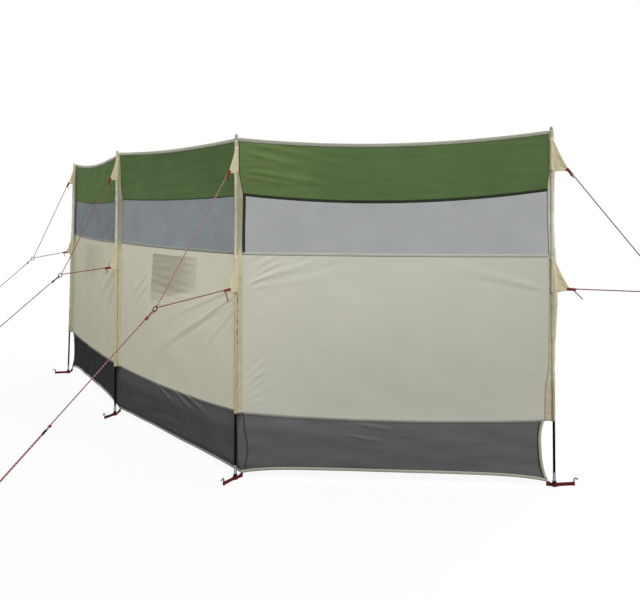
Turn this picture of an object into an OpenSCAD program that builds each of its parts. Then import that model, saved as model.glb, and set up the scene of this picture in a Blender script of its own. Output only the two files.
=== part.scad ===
// Beach windbreak: three bays of cloth on four guyed poles, from ground level up.
// Frame: the origin is under the foot of the corner pole, X runs along the right bay,
// Y points to the sheltered side and Z points up. All lengths are in millimetres.

/* [Layout] */
// Distance between neighbouring poles
bay_w = 1370; // [1000:10:1800]
// Turn of the middle bay back from the right bay, in degrees
corner_bend = 50; // [10:1:70]
// Further turn of the left bay, in degrees
inner_bend = 8; // [0:1:30]

/* [Cloth] */
// Thickness that every cloth sheet is drawn with
cloth_t = 2; // [1:0.5:4]
// Height of the green band below its tape
green_h = 240; // [120:5:400]
// Height of the mesh window
mesh_h = 250; // [120:5:400]
// Height of the pale wall
wall_h = 710; // [400:10:900]
// Height of the dark skirt with its hem
skirt_h = 257; // [150:1:400]
// Height of the hem's corners above the ground
hem_clear = 28; // [10:1:60]
// Height of the top tape
top_tape_h = 15; // [8:1:30]
// Height of the hem tape
hem_tape_h = 12; // [6:1:25]
// Thickness of the top and hem tapes
tape_t = 3; // [2:0.5:5]
// Largest sag of the top edge between two poles
top_sag = 40; // [0:1:80]
// Largest rise of the hem between two poles
hem_arch = 28; // [0:1:60]
// How far the cloth billows to the windward side
billow = 14; // [0:1:40]
// How far a free end of the skirt bows in
skirt_bow = 80; // [20:1:120]
// Width of a pocket on the sheltered side
pocket_w = 500; // [200:10:700]
// Height of a pocket on the sheltered side
pocket_h = 220; // [100:5:350]

/* [Poles] */
// Diameter of a pole
pole_d = 11; // [8:0.5:16]
// Height of the pole tip above its sleeve
tip_show = 20; // [5:1:40]
// Height of the grey cap at the pole's top
cap_h = 45; // [35:1:80]
// Diameter of the metal ferrule at the pole's foot
ferrule_d = 13; // [10:0.5:18]
// Length of the ferrule
ferrule_h = 56; // [40:1:90]
// Diameter of the foot cup
cup_d = 18; // [17:0.5:30]
// Height of the foot cup
cup_h = 24; // [15:1:40]

/* [Sleeves and tabs] */
// Distance from the pole's axis to the seam that joins the bays
web_w = 28; // [18:1:50]
// Wall of the sleeve around the pole
sleeve_t = 2; // [1:0.5:4]
// Height of an upper guy tab
upper_tab_h = 130; // [70:5:200]
// Height of a lower guy tab
lower_tab_h = 147; // [70:1:200]
// How far a guy tab reaches out from the pole's axis
tab_out = 60; // [40:1:90]
// Thickness of a guy tab
tab_t = 2; // [1:0.5:4]

/* [Guys and pegs] */
// Diameter of the guy cord
cord_d = 4.4; // [2:0.2:6]
// Distance of a guy ring from its pole
ring_out = 400; // [300:10:600]
// Distance of a guy peg from its pole
peg_out = 1360; // [1000:10:2200]
// Mean diameter of a guy ring
ring_d = 23; // [16:1:40]
// Thickness of a guy ring
ring_wire = 3.6; // [2:0.2:6]
// Width of the foot straps' webbing, which stands on edge
webbing_w = 18; // [12:1:40]
// Thickness of the webbing
webbing_t = 2; // [1:0.5:3]
// Distance of a foot peg from its pole
strap_out = 88; // [60:1:150]
// Diameter of the peg wire
peg_d = 5; // [3:0.5:8]
// Height of a peg's head above the ground
peg_h = 30; // [25:1:50]

/* [Hidden] */
$fn = 48;

// Poles are counted from the left end, bays from the left, levels of the cloth from the ground up
POLES = [for (i = [0 : 3]) i];
LEFT_END = POLES[0];
LEFT_INNER = POLES[1];
CORNER = POLES[2];
RIGHT_END = POLES[3];
BAYS = [for (k = [0 : 2]) k];
LEFT = BAYS[0];
MIDDLE = BAYS[1];
RIGHT = BAYS[2];
LEVELS = [for (lv = [0 : 6]) lv];
HEM = LEVELS[0];
HEM_TOP = LEVELS[1];
SKIRT_TOP = LEVELS[2];
WALL_TOP = LEVELS[3];
MESH_TOP = LEVELS[4];
GREEN_TOP = LEVELS[5];
TOP = LEVELS[6];

// Clearance between pieces that lie against each other
gap = 0.3;
// Clearance between a sheet's end and the seam at the pole
seam_gap = 0.8;
// Overrun of every cut
cut = 1;
// Play of the pole's ferrule in the foot cup, on the radius
cup_play = 1.2;
// Floor of the foot cup under the ferrule
cup_floor = 4;
// Thickness of the sleeve's web where it meets the seam
web_t = 1.5;
// Distance of an upper tab below the sleeve's top
upper_tab_drop = 34;
// Distance of a lower tab below the wall's top
lower_tab_drop = 22;
// Height of a tab's blunt tip
tab_tip_h = 12;
// Height of a lower tab's tip above its lower edge
lower_tip_rise = 14;
// Length of a webbing loop at a tab's tip
loop_len = 16;
// Thickness of the doubled webbing in a loop
loop_t = 4;
// Drop of a guy ring below the lower tab's tip
ring_drop = 30;
// Length, width and thickness of a runner
runner_len = 30;
runner_w = 12;
runner_t = 7;
// Radius of the bend in a peg's head
peg_bend = 8;
// Thickness of a pocket's cloth
pocket_t = 1.5;
// Distance of a pocket's mouth below the wall's top
pocket_drop = 48;
// Distance of a pocket from its bay's left pole
pocket_in = 470;
// Width of the tape along a free end of the skirt
end_tape_w = 12;

// How the four poles differ, from the left end
guy_headings = [170, 228, 232, -20];
web_headings = [180, 205, 205, -5];
strap_headings = [195, 250, 246, 12];
lean_x_shares = [0.028, 0.008, 0.002, -0.010];
lean_y_shares = [0.009, 0.006, 0.010, -0.009];
tip_show_shares = [0.4, 0.6, 1.4, 0.9];
pole_h_shares = [1.0, 1.0, 0.9935, 1.0065];
hem_clear_shares = [1.25, 1.3, 0.86, 0.65];
skirt_top_shares = [1.04, 0.98, 1.0, 0.975];
wall_top_shares = [1.012, 1.0, 0.992, 0.988];
mesh_top_shares = [1.006, 0.995, 0.996, 1.01];
tab_out_shares = [0.75, 0.75, 0.7, 1.12];
upper_tab_shares = [0.85, 0.98, 0.885, 1.08];
lower_tab_shares = [0.8, 0.98, 1.11, 1.03];
ring_out_shares = [0.8, 0.855, 1.08, 1.16];
ring_drop_shares = [1.68, 0.9, 1.63, 0.12];
peg_out_shares = [0.98, 1.03, 1.0, 0.98];
// How the three bays differ, from the left
top_sag_shares = [0.92, 0.42, 1.0];
green_sag_shares = [0.6, 0.28, 1.05];
mesh_sag_shares = [0.2, 0.1, 0.05];
wall_sag_shares = [0, 0, 0.38];
hem_arch_shares = [1.5, 0.55, 1.0];
// How squarely the hem turns down at its corners
hem_power = 6;
// How the skirt's two free ends differ, from the left, and how fully they bow
bow_shares = [0.88, 0.23];
bow_power = 3;
// Place of a runner along its guy line
runner_share = 0.5;
// Steps of a sheet along its bay and across the skirt's bowed end
STEPS = 14;
BOW_STEPS = 8;

// Heights worked out from the sizes above
skirt_top = hem_clear + skirt_h;
wall_top = skirt_top + wall_h;
mesh_top = wall_top + mesh_h;
pole_h = mesh_top + green_h + top_tape_h + tip_show;
sleeve_r = pole_d / 2 + gap + sleeve_t;
bay_headings = [-corner_bend - inner_bend, -corner_bend, 0];

// Unit vector at an angle in the ground plane
function heading(a) = [cos(a), sin(a), 0];
// Foot of a pole on the ground
function foot(i) =
  i == RIGHT_END ? bay_w * heading(bay_headings[RIGHT])
  : i == CORNER ? [0, 0, 0]
  : foot(i + 1) - bay_w * heading(bay_headings[i]);
// Direction of a pole's guy line seen from above
function out_dir(i) = heading(guy_headings[i]);
// Point on a pole's leaning axis at a height
function axis_at(i, z) = foot(i) + [lean_x_shares[i] * z, lean_y_shares[i] * z, z];
// Point on the seam behind a pole at a height
function seam_at(i, z) = axis_at(i, z) - web_w * heading(web_headings[i]);
// Point in a pole's guy plane, out from the leaning axis at a height
function guy_at(i, r, z) = axis_at(i, z) + r * out_dir(i);
// Height of a pole's tip and of its sleeve's top
function pole_top(i) = pole_h * pole_h_shares[i];
function sleeve_top(i) = pole_top(i) - tip_show * tip_show_shares[i];
// Outward normal of a bay, to the windward side
function bay_normal(k) = heading(bay_headings[k] - 90);

// Height of a level at a pole
function level_at(i, lv) =
  lv == HEM ? hem_clear * hem_clear_shares[i]
  : lv == HEM_TOP ? hem_clear * hem_clear_shares[i] + hem_tape_h
  : lv == SKIRT_TOP ? skirt_top * skirt_top_shares[i]
  : lv == WALL_TOP ? wall_top * wall_top_shares[i]
  : lv == MESH_TOP ? mesh_top * mesh_top_shares[i]
  : lv == GREEN_TOP ? sleeve_top(i) - top_tape_h
  : sleeve_top(i);
// Sag of a level at its middle, negative where it rises
function sag_of(k, lv) =
  lv == HEM || lv == HEM_TOP ? -hem_arch * hem_arch_shares[k]
  : lv == SKIRT_TOP ? top_sag * wall_sag_shares[k]
  : lv == WALL_TOP ? top_sag * mesh_sag_shares[k]
  : lv == MESH_TOP ? top_sag * green_sag_shares[k]
  : top_sag * top_sag_shares[k];
// Form of a sag along a bay
function sag_form(lv, u) =
  lv == HEM || lv == HEM_TOP ? 1 - pow(abs(2 * u - 1), hem_power) : 4 * u * (1 - u);
// Height of a level along a bay
function level_z(k, lv, u) =
  level_at(k, lv) * (1 - u) + level_at(k + 1, lv) * u - sag_of(k, lv) * sag_form(lv, u);
// Billow of the cloth at a place along a bay and at a height
function billow_at(u, z) = billow * 4 * u * (1 - u) * sin(180 * z / pole_h);
// Point of a bay's cloth
function cloth_at(k, u, z) =
  seam_at(k, z) * (1 - u) + seam_at(k + 1, z) * u + billow_at(u, z) * bay_normal(k);
// How far a skirt's free end bows in, as a share of the bay, at a share of the skirt's height
function bow_share(e, v) =
  skirt_bow * bow_shares[e] / bay_w * (1 - pow(abs(2 * v - 1), bow_power));
function left_bow(k, v) = k == LEFT ? bow_share(0, v) : 0;
function right_bow(k, v) = k == RIGHT ? bow_share(1, v) : 0;

// A closed sheet around a grid of middle points, rows from the bottom up
module sheet(rows, normal, t) {
  nr = len(rows) - 1;
  nc = len(rows[0]) - 1;
  n = (nr + 1) * (nc + 1);
  flat = [for (row = rows) for (p = row) p];
  front = [for (p = flat) p + normal * t / 2];
  back = [for (p = flat) p - normal * t / 2];
  function at(r, c) = r * (nc + 1) + c;
  faces = concat(
    [for (r = [0 : nr - 1]) for (c = [0 : nc - 1]) [at(r, c), at(r + 1, c), at(r + 1, c + 1)]],
    [for (r = [0 : nr - 1]) for (c = [0 : nc - 1]) [at(r, c), at(r + 1, c + 1), at(r, c + 1)]],
    [for (r = [0 : nr - 1]) for (c = [0 : nc - 1])
      [n + at(r, c), n + at(r + 1, c + 1), n + at(r + 1, c)]],
    [for (r = [0 : nr - 1]) for (c = [0 : nc - 1])
      [n + at(r, c), n + at(r, c + 1), n + at(r + 1, c + 1)]],
    [for (c = [0 : nc - 1]) [at(0, c), at(0, c + 1), n + at(0, c + 1), n + at(0, c)]],
    [for (c = [0 : nc - 1]) [at(nr, c + 1), at(nr, c), n + at(nr, c), n + at(nr, c + 1)]],
    [for (r = [0 : nr - 1]) [at(r + 1, 0), at(r, 0), n + at(r, 0), n + at(r + 1, 0)]],
    [for (r = [0 : nr - 1]) [at(r, nc), at(r + 1, nc), n + at(r + 1, nc), n + at(r, nc)]]
  );
  polyhedron(points = concat(front, back), faces = faces);
}

// One cloth band of a bay between two levels
module band(k, low, high, t, rows, bows = false, end_in = 0) {
  end_share = seam_gap / bay_w;
  in_share = end_in / bay_w;
  sheet(
    [for (r = [0 : rows]) let (
      v = r / rows,
      a = end_share + (bows && k == LEFT ? left_bow(k, v) + in_share : 0),
      b = 1 - end_share - (bows && k == RIGHT ? right_bow(k, v) + in_share : 0)
    ) [for (c = [0 : STEPS]) let (
      u = a + (b - a) * c / STEPS,
      z = level_z(k, low, u) * (1 - v) + level_z(k, high, u) * v
    ) cloth_at(k, u, z)]],
    bay_normal(k), t
  );
}

// Places its children on a pole's leaning axis, turned to a heading
module on_pole(i, turn = 0) {
  lean = [lean_x_shares[i], lean_y_shares[i]];
  lean_heading = atan2(lean[1], lean[0]);
  translate(foot(i))
    rotate([0, atan(norm(lean)), lean_heading])
      rotate([0, 0, turn - lean_heading])
        children();
}

// Places its children upright, out from a pole's foot along a heading and turned to it
module at_foot(i, turn = 0, r = 0) {
  translate(foot(i) + r * heading(turn))
    rotate([0, 0, turn])
      children();
}

// A round cord between two points, kept back from both
module cord(a, b, d, a_back = 0, b_back = 0) {
  run = b - a;
  len = norm(run);
  dir = run / len;
  translate(a + a_back * dir)
    rotate([0, acos(dir[2]), atan2(dir[1], dir[0])])
      cylinder(d = d, h = len - a_back - b_back);
}

// Black rod from the ferrule to the cap
module pole(i) {
  color("#1c1d1f")
    on_pole(i)
      translate([0, 0, cup_floor + gap + ferrule_h])
        cylinder(d = pole_d, h = pole_top(i) - cap_h - cup_floor - gap - ferrule_h);
}

// Grey caps that close the poles' tops
module pole_caps() {
  color("#8d8f8c")
    for (i = POLES)
      on_pole(i)
        translate([0, 0, pole_top(i) - cap_h])
          cylinder(d = pole_d, h = cap_h);
}

// Bright metal ferrules at the poles' feet
module pole_ferrules() {
  color("#c3c6c8")
    for (i = POLES)
      on_pole(i)
        translate([0, 0, cup_floor + gap])
          cylinder(d = ferrule_d, h = ferrule_h);
}

// Black cups that the poles stand in
module foot_cups() {
  color("#161617")
    for (i = POLES)
      at_foot(i)
        difference() {
          cylinder(d = cup_d, h = cup_h);
          translate([0, 0, cup_floor])
            cylinder(d = ferrule_d + 2 * cup_play, h = cup_h);
        }
}

// Cloth sleeve around a pole, with the web that runs back to the seam
module sleeve(i) {
  color("#d8cfa6")
    on_pole(i, web_headings[i])
      translate([0, 0, level_at(i, SKIRT_TOP)])
        linear_extrude(height = sleeve_top(i) - level_at(i, SKIRT_TOP))
          difference() {
            union() {
              circle(r = sleeve_r);
              polygon([
                [0, sleeve_r],
                [-web_w, web_t / 2],
                [-web_w, -web_t / 2],
                [0, -sleeve_r]
              ]);
            }
            circle(d = pole_d + 2 * gap);
          }
}

// Heights of a pole's tabs and of their tips
function upper_h(i) = upper_tab_h * upper_tab_shares[i];
function lower_h(i) = lower_tab_h * lower_tab_shares[i];
function upper_tip_z(i) = sleeve_top(i) - upper_tab_drop - upper_h(i) + tab_tip_h / 2;
function lower_tip_z(i) = wall_top - lower_tab_drop - lower_h(i) + lower_tip_rise + tab_tip_h / 2;
// Reach of a pole's tabs
function tab_reach(i) = tab_out * tab_out_shares[i];

// One flat gusset in the guy's plane
module gusset(i, top, h, tip_z) {
  root = sleeve_r + gap;
  on_pole(i, guy_headings[i])
    translate([0, tab_t / 2, 0])
      rotate([90, 0, 0])
        linear_extrude(height = tab_t)
          polygon([
            [root, top],
            [root, top - h],
            [tab_reach(i), tip_z - tab_tip_h / 2],
            [tab_reach(i), tip_z + tab_tip_h / 2]
          ]);
}

// The two gussets that a pole's guy pulls on
module guy_tabs(i) {
  color("#ddd4ab") {
    gusset(i, sleeve_top(i) - upper_tab_drop, upper_h(i), upper_tip_z(i));
    gusset(i, wall_top - lower_tab_drop, lower_h(i), lower_tip_z(i));
  }
}

// Places that a guy line runs between, in its plane: distance from the pole's axis and height
function ring_place(i) =
  [ring_out * ring_out_shares[i], lower_tip_z(i) - ring_drop * ring_drop_shares[i]];
function tip_place(i, z) = [tab_reach(i), z];
function leg_dir(i, z) = (ring_place(i) - tip_place(i, z)) / norm(ring_place(i) - tip_place(i, z));
// Distance of a loop from its tab's tip, so that its square end stays clear
function loop_back(i, z) = gap + abs(leg_dir(i, z)[1]) * tab_tip_h / 2;
function loop_end(i, z) = tip_place(i, z) + (loop_back(i, z) + loop_len) * leg_dir(i, z);
// The same places in the row's frame
function in_frame(i, place) = guy_at(i, place[0], place[1]);
function ring_at(i) = in_frame(i, ring_place(i));
function peg_at(i) = foot(i) + peg_out * peg_out_shares[i] * out_dir(i);
function line_end(i) = peg_at(i) + [0, 0, peg_h / 2];
function runner_at(i) = ring_at(i) + runner_share * (line_end(i) - ring_at(i));

// Red webbing loops on the tabs' tips, in line with the legs
module tab_loops() {
  color("#7a0d16")
    for (i = POLES)
      for (z = [upper_tip_z(i), lower_tip_z(i)])
        on_pole(i, guy_headings[i])
          translate([tab_reach(i), 0, z])
            rotate([0, atan2(-leg_dir(i, z)[1], leg_dir(i, z)[0]), 0])
              translate([loop_back(i, z), -loop_t / 2, -tab_tip_h / 2])
                cube([loop_len, loop_t, tab_tip_h]);
}

// Two legs from the tabs to the ring and the main line on to the peg
module guy_line(i) {
  ring_back = (ring_d + ring_wire) / 2 + gap;
  peg_back = peg_d / 2 + gap;
  color("#9a2a2e") {
    cord(in_frame(i, loop_end(i, upper_tip_z(i))), ring_at(i), cord_d, gap, ring_back);
    cord(in_frame(i, loop_end(i, lower_tip_z(i))), ring_at(i), cord_d, gap, ring_back);
    cord(ring_at(i), line_end(i), cord_d, ring_back, peg_back);
  }
}

// Black rings that join the legs to the main lines
module guy_rings() {
  color("#17181a")
    for (i = POLES)
      translate(ring_at(i))
        rotate([90, 0, guy_headings[i]])
          rotate_extrude()
            translate([ring_d / 2, 0])
              circle(d = ring_wire);
}

// Black sliders that tighten the main lines
module guy_runners() {
  color("#17181a")
    for (i = POLES) {
      run = line_end(i) - ring_at(i);
      dir = run / norm(run);
      translate(runner_at(i))
        rotate([0, acos(dir[2]), atan2(dir[1], dir[0])])
          difference() {
            translate([-runner_w / 2, -runner_t / 2, 0])
              cube([runner_w, runner_t, runner_len]);
            translate([0, 0, -cut])
              cylinder(d = cord_d + 2 * gap, h = runner_len + 2 * cut);
          }
    }
}

// Head of a wire peg: a shank out of the ground that turns over into a hook
module peg_head() {
  shank = peg_h - peg_bend;
  cylinder(d = peg_d, h = shank);
  translate([peg_bend, 0, shank])
    rotate([90, 0, 0])
      rotate_extrude(angle = 180)
        translate([peg_bend, 0])
          circle(d = peg_d);
}

// Pegs at the ends of the guy lines
module guy_pegs() {
  color("#a8abad")
    for (i = POLES)
      at_foot(i, guy_headings[i], peg_out * peg_out_shares[i])
        peg_head();
}

// Plan of a webbing loop around something round
module loop_plan(d) {
  difference() {
    circle(d = d + 2 * gap + 2 * webbing_t);
    circle(d = d + 2 * gap);
  }
}

// Red strap on edge: looped around the foot cup, out to its peg and in to the skirt's corner
module foot_strap(i) {
  cup_side = (cup_d + webbing_t) / 2 + gap;
  peg_side = strap_out - (peg_d + webbing_t) / 2 - gap;
  corner_z = level_at(i, HEM) - gap;
  at_foot(i, strap_headings[i])
    linear_extrude(height = webbing_w) {
      loop_plan(cup_d);
      translate([strap_out, 0])
        loop_plan(peg_d);
      translate([cup_side, -webbing_t / 2])
        square([peg_side - cup_side, webbing_t]);
    }
  at_foot(i, web_headings[i])
    translate([-web_w, -webbing_t / 2, 0])
      linear_extrude(height = corner_z)
        square([web_w - cup_side, webbing_t]);
}

module foot_straps() {
  color("#7a0d16")
    for (i = POLES)
      foot_strap(i);
}

// Pegs through the ends of the foot straps
module foot_pegs() {
  color("#a8abad")
    for (i = POLES)
      at_foot(i, strap_headings[i], strap_out)
        peg_head();
}

// Pale binding along a bay's top edge
module top_tape(k) {
  color("#c9ccbd")
    band(k, GREEN_TOP, TOP, tape_t, 1);
}

// Green cloth at the top of a bay
module green_band(k) {
  color("#55693f")
    band(k, MESH_TOP, GREEN_TOP, cloth_t, 3);
}

// Grey see-through mesh of a bay
module mesh_window(k) {
  color("#9da1a3")
    band(k, WALL_TOP, MESH_TOP, cloth_t, 2);
}

// Pale wall of a bay
module wall(k) {
  color("#b4b4a5")
    band(k, SKIRT_TOP, WALL_TOP, cloth_t, 4);
}

// Dark skirt of a bay, whose free ends bow in
module skirt(k) {
  color("#505152")
    band(k, HEM_TOP, SKIRT_TOP, cloth_t, BOW_STEPS, true, end_tape_w + gap);
}

// Pale binding along a bay's hem
module hem_tape(k) {
  color("#b9b9a4")
    band(k, HEM, HEM_TOP, tape_t, 1);
}

// Place along a bay of a point on the skirt's bowed end tape
function end_u(k, v, w) =
  k == LEFT ? seam_gap / bay_w + left_bow(k, v) + w / bay_w
  : 1 - seam_gap / bay_w - right_bow(k, v) - w / bay_w;

// Pale binding along the skirt's free ends
module skirt_end_tapes() {
  color("#b9b9a4")
    for (k = [LEFT, RIGHT])
      sheet(
        [for (r = [0 : BOW_STEPS]) let (v = r / BOW_STEPS)
          [for (w = k == LEFT ? [0, end_tape_w] : [end_tape_w, 0]) let (
            u = end_u(k, v, w),
            z = level_z(k, HEM_TOP, u) * (1 - v) + level_z(k, SKIRT_TOP, u) * v
          ) cloth_at(k, u, z)]],
        bay_normal(k), tape_t
      );
}

// Patch pockets on the sheltered side of the left and middle walls
module inner_pockets() {
  back = cloth_t / 2 + gap + pocket_t / 2;
  color("#a9a697")
    for (k = [LEFT, MIDDLE])
      sheet(
        [for (r = [0, 1]) [for (c = [0 : STEPS]) let (
          u = (pocket_in + pocket_w * c / STEPS) / bay_w,
          z = wall_top - pocket_drop - pocket_h * (1 - r)
        ) cloth_at(k, u, z) - back * bay_normal(k)]],
        bay_normal(k), pocket_t
      );
}

pole(LEFT_END);  // pole_left_end
pole(LEFT_INNER);  // pole_left_inner
pole(CORNER);  // pole_corner
pole(RIGHT_END);  // pole_right_end
pole_caps();
pole_ferrules();
foot_cups();
sleeve(LEFT_END);  // sleeve_left_end
sleeve(LEFT_INNER);  // sleeve_left_inner
sleeve(CORNER);  // sleeve_corner
sleeve(RIGHT_END);  // sleeve_right_end
guy_tabs(LEFT_END);  // guy_tabs_left_end
guy_tabs(LEFT_INNER);  // guy_tabs_left_inner
guy_tabs(CORNER);  // guy_tabs_corner
guy_tabs(RIGHT_END);  // guy_tabs_right_end
guy_line(LEFT_END);  // guy_line_left_end
guy_line(LEFT_INNER);  // guy_line_left_inner
guy_line(CORNER);  // guy_line_corner
guy_line(RIGHT_END);  // guy_line_right_end
tab_loops();
guy_rings();
guy_runners();
guy_pegs();
foot_straps();
foot_pegs();
top_tape(LEFT);  // top_tape_left
top_tape(MIDDLE);  // top_tape_middle
top_tape(RIGHT);  // top_tape_right
green_band(LEFT);  // green_band_left
green_band(MIDDLE);  // green_band_middle
green_band(RIGHT);  // green_band_right
mesh_window(LEFT);  // mesh_window_left
mesh_window(MIDDLE);  // mesh_window_middle
mesh_window(RIGHT);  // mesh_window_right
wall(LEFT);  // wall_left
wall(MIDDLE);  // wall_middle
wall(RIGHT);  // wall_right
skirt(LEFT);  // skirt_left
skirt(MIDDLE);  // skirt_middle
skirt(RIGHT);  // skirt_right
hem_tape(LEFT);  // hem_tape_left
hem_tape(MIDDLE);  // hem_tape_middle
hem_tape(RIGHT);  // hem_tape_right
skirt_end_tapes();
inner_pockets();
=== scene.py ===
"""Looks of a three-bay beach windbreak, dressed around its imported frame.

Lengths are in metres in the frame's own axes: the origin is under the corner pole's foot, X runs along
the right bay, Y points to the sheltered side and Z points up.
"""
import logging
import math
from dataclasses import dataclass, field
from enum import Enum, IntEnum
from functools import partial
from typing import Any, Callable, Sequence

import bpy
import numpy as np
from bpy.types import Material, NodeSocket, NodeTree, Object
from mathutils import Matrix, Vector
from numpy.linalg import norm


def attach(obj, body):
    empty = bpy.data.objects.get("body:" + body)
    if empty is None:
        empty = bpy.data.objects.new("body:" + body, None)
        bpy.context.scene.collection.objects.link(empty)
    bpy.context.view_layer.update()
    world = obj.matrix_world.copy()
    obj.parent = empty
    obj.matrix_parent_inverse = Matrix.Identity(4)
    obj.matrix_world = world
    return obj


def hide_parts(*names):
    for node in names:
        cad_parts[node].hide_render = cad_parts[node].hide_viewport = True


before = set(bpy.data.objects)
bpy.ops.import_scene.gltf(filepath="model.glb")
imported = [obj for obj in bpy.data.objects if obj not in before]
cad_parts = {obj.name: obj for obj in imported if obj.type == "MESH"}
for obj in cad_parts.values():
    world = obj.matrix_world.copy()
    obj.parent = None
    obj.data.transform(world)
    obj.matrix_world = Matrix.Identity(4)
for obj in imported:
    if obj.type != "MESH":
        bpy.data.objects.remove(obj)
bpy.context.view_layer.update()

LOG = logging.getLogger("windbreak")
MM = 0.001
BODY = "root"
UP = np.array([0.0, 0.0, 1.0])
FLAT = "flat"
ALONG = "along"
SHADE = "shade"
Array = np.ndarray
Floats = tuple[float, ...]
Pair = tuple[float, float]
Stations = tuple[Pair, ...]
Triple = tuple[float, float, float]
Faces = list[tuple[int, ...]]
Fields = dict[str, Array]


class Tagged(IntEnum):
    """A numbered choice whose name is part of the names of its pieces."""

    @property
    def tag(self) -> str:
        """The name as pieces have it."""
        return self.name.lower()


class Pole(Tagged):
    """The four poles, counted from the left end."""

    LEFT_END = 0
    LEFT_INNER = 1
    CORNER = 2
    RIGHT_END = 3


class Bay(Tagged):
    """The three bays, counted from the left."""

    LEFT = 0
    MIDDLE = 1
    RIGHT = 2


class Level(IntEnum):
    """Levels of the cloth, from the ground up."""

    HEM = 0
    HEM_TOP = 1
    SKIRT_TOP = 2
    WALL_TOP = 3
    MESH_TOP = 4
    GREEN_TOP = 5
    TOP = 6


class Slot(Enum):
    """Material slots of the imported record."""

    ROD = "black_rod"
    CAP = "grey_cap"
    STEEL = "bright_steel"
    PLASTIC = "black_plastic"
    CREAM = "cream_cloth"
    GREEN = "green_cloth"
    MESH = "grey_mesh"
    PALE = "pale_cloth"
    DARK = "dark_cloth"
    TAPE = "pale_tape"
    WEBBING = "red_webbing"
    CORD = "red_cord"


def heading(degrees: float) -> Array:
    """Returns the unit vector at an angle in the ground plane."""
    angle = math.radians(degrees)
    return np.array([math.cos(angle), math.sin(angle), 0.0])


def unit(vector: Array) -> Array:
    """Returns the vector at length one."""
    return vector / norm(vector)


def ease(low: float, high: float, value: Array) -> Array:
    """Blends smoothly from 0 at low to 1 at high."""
    t = np.clip((value - low) / (high - low), 0, 1)
    return t * t * (3 - 2 * t)


def profile(stations: Sequence[Pair], z: Array) -> Array:
    """Blends smoothly between widths stated at a few heights.

    Args:
        stations: Pairs of height and width in millimetres, from the bottom up.
        z: Heights in metres.

    Returns:
        The width at each height, in metres.
    """
    width = np.full(np.shape(z), stations[0][1] * MM, float)
    for (z0, w0), (z1, w1) in zip(stations, stations[1:]):
        width += (w1 - w0) * MM * ease(z0 * MM, z1 * MM, z)
    return width


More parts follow.
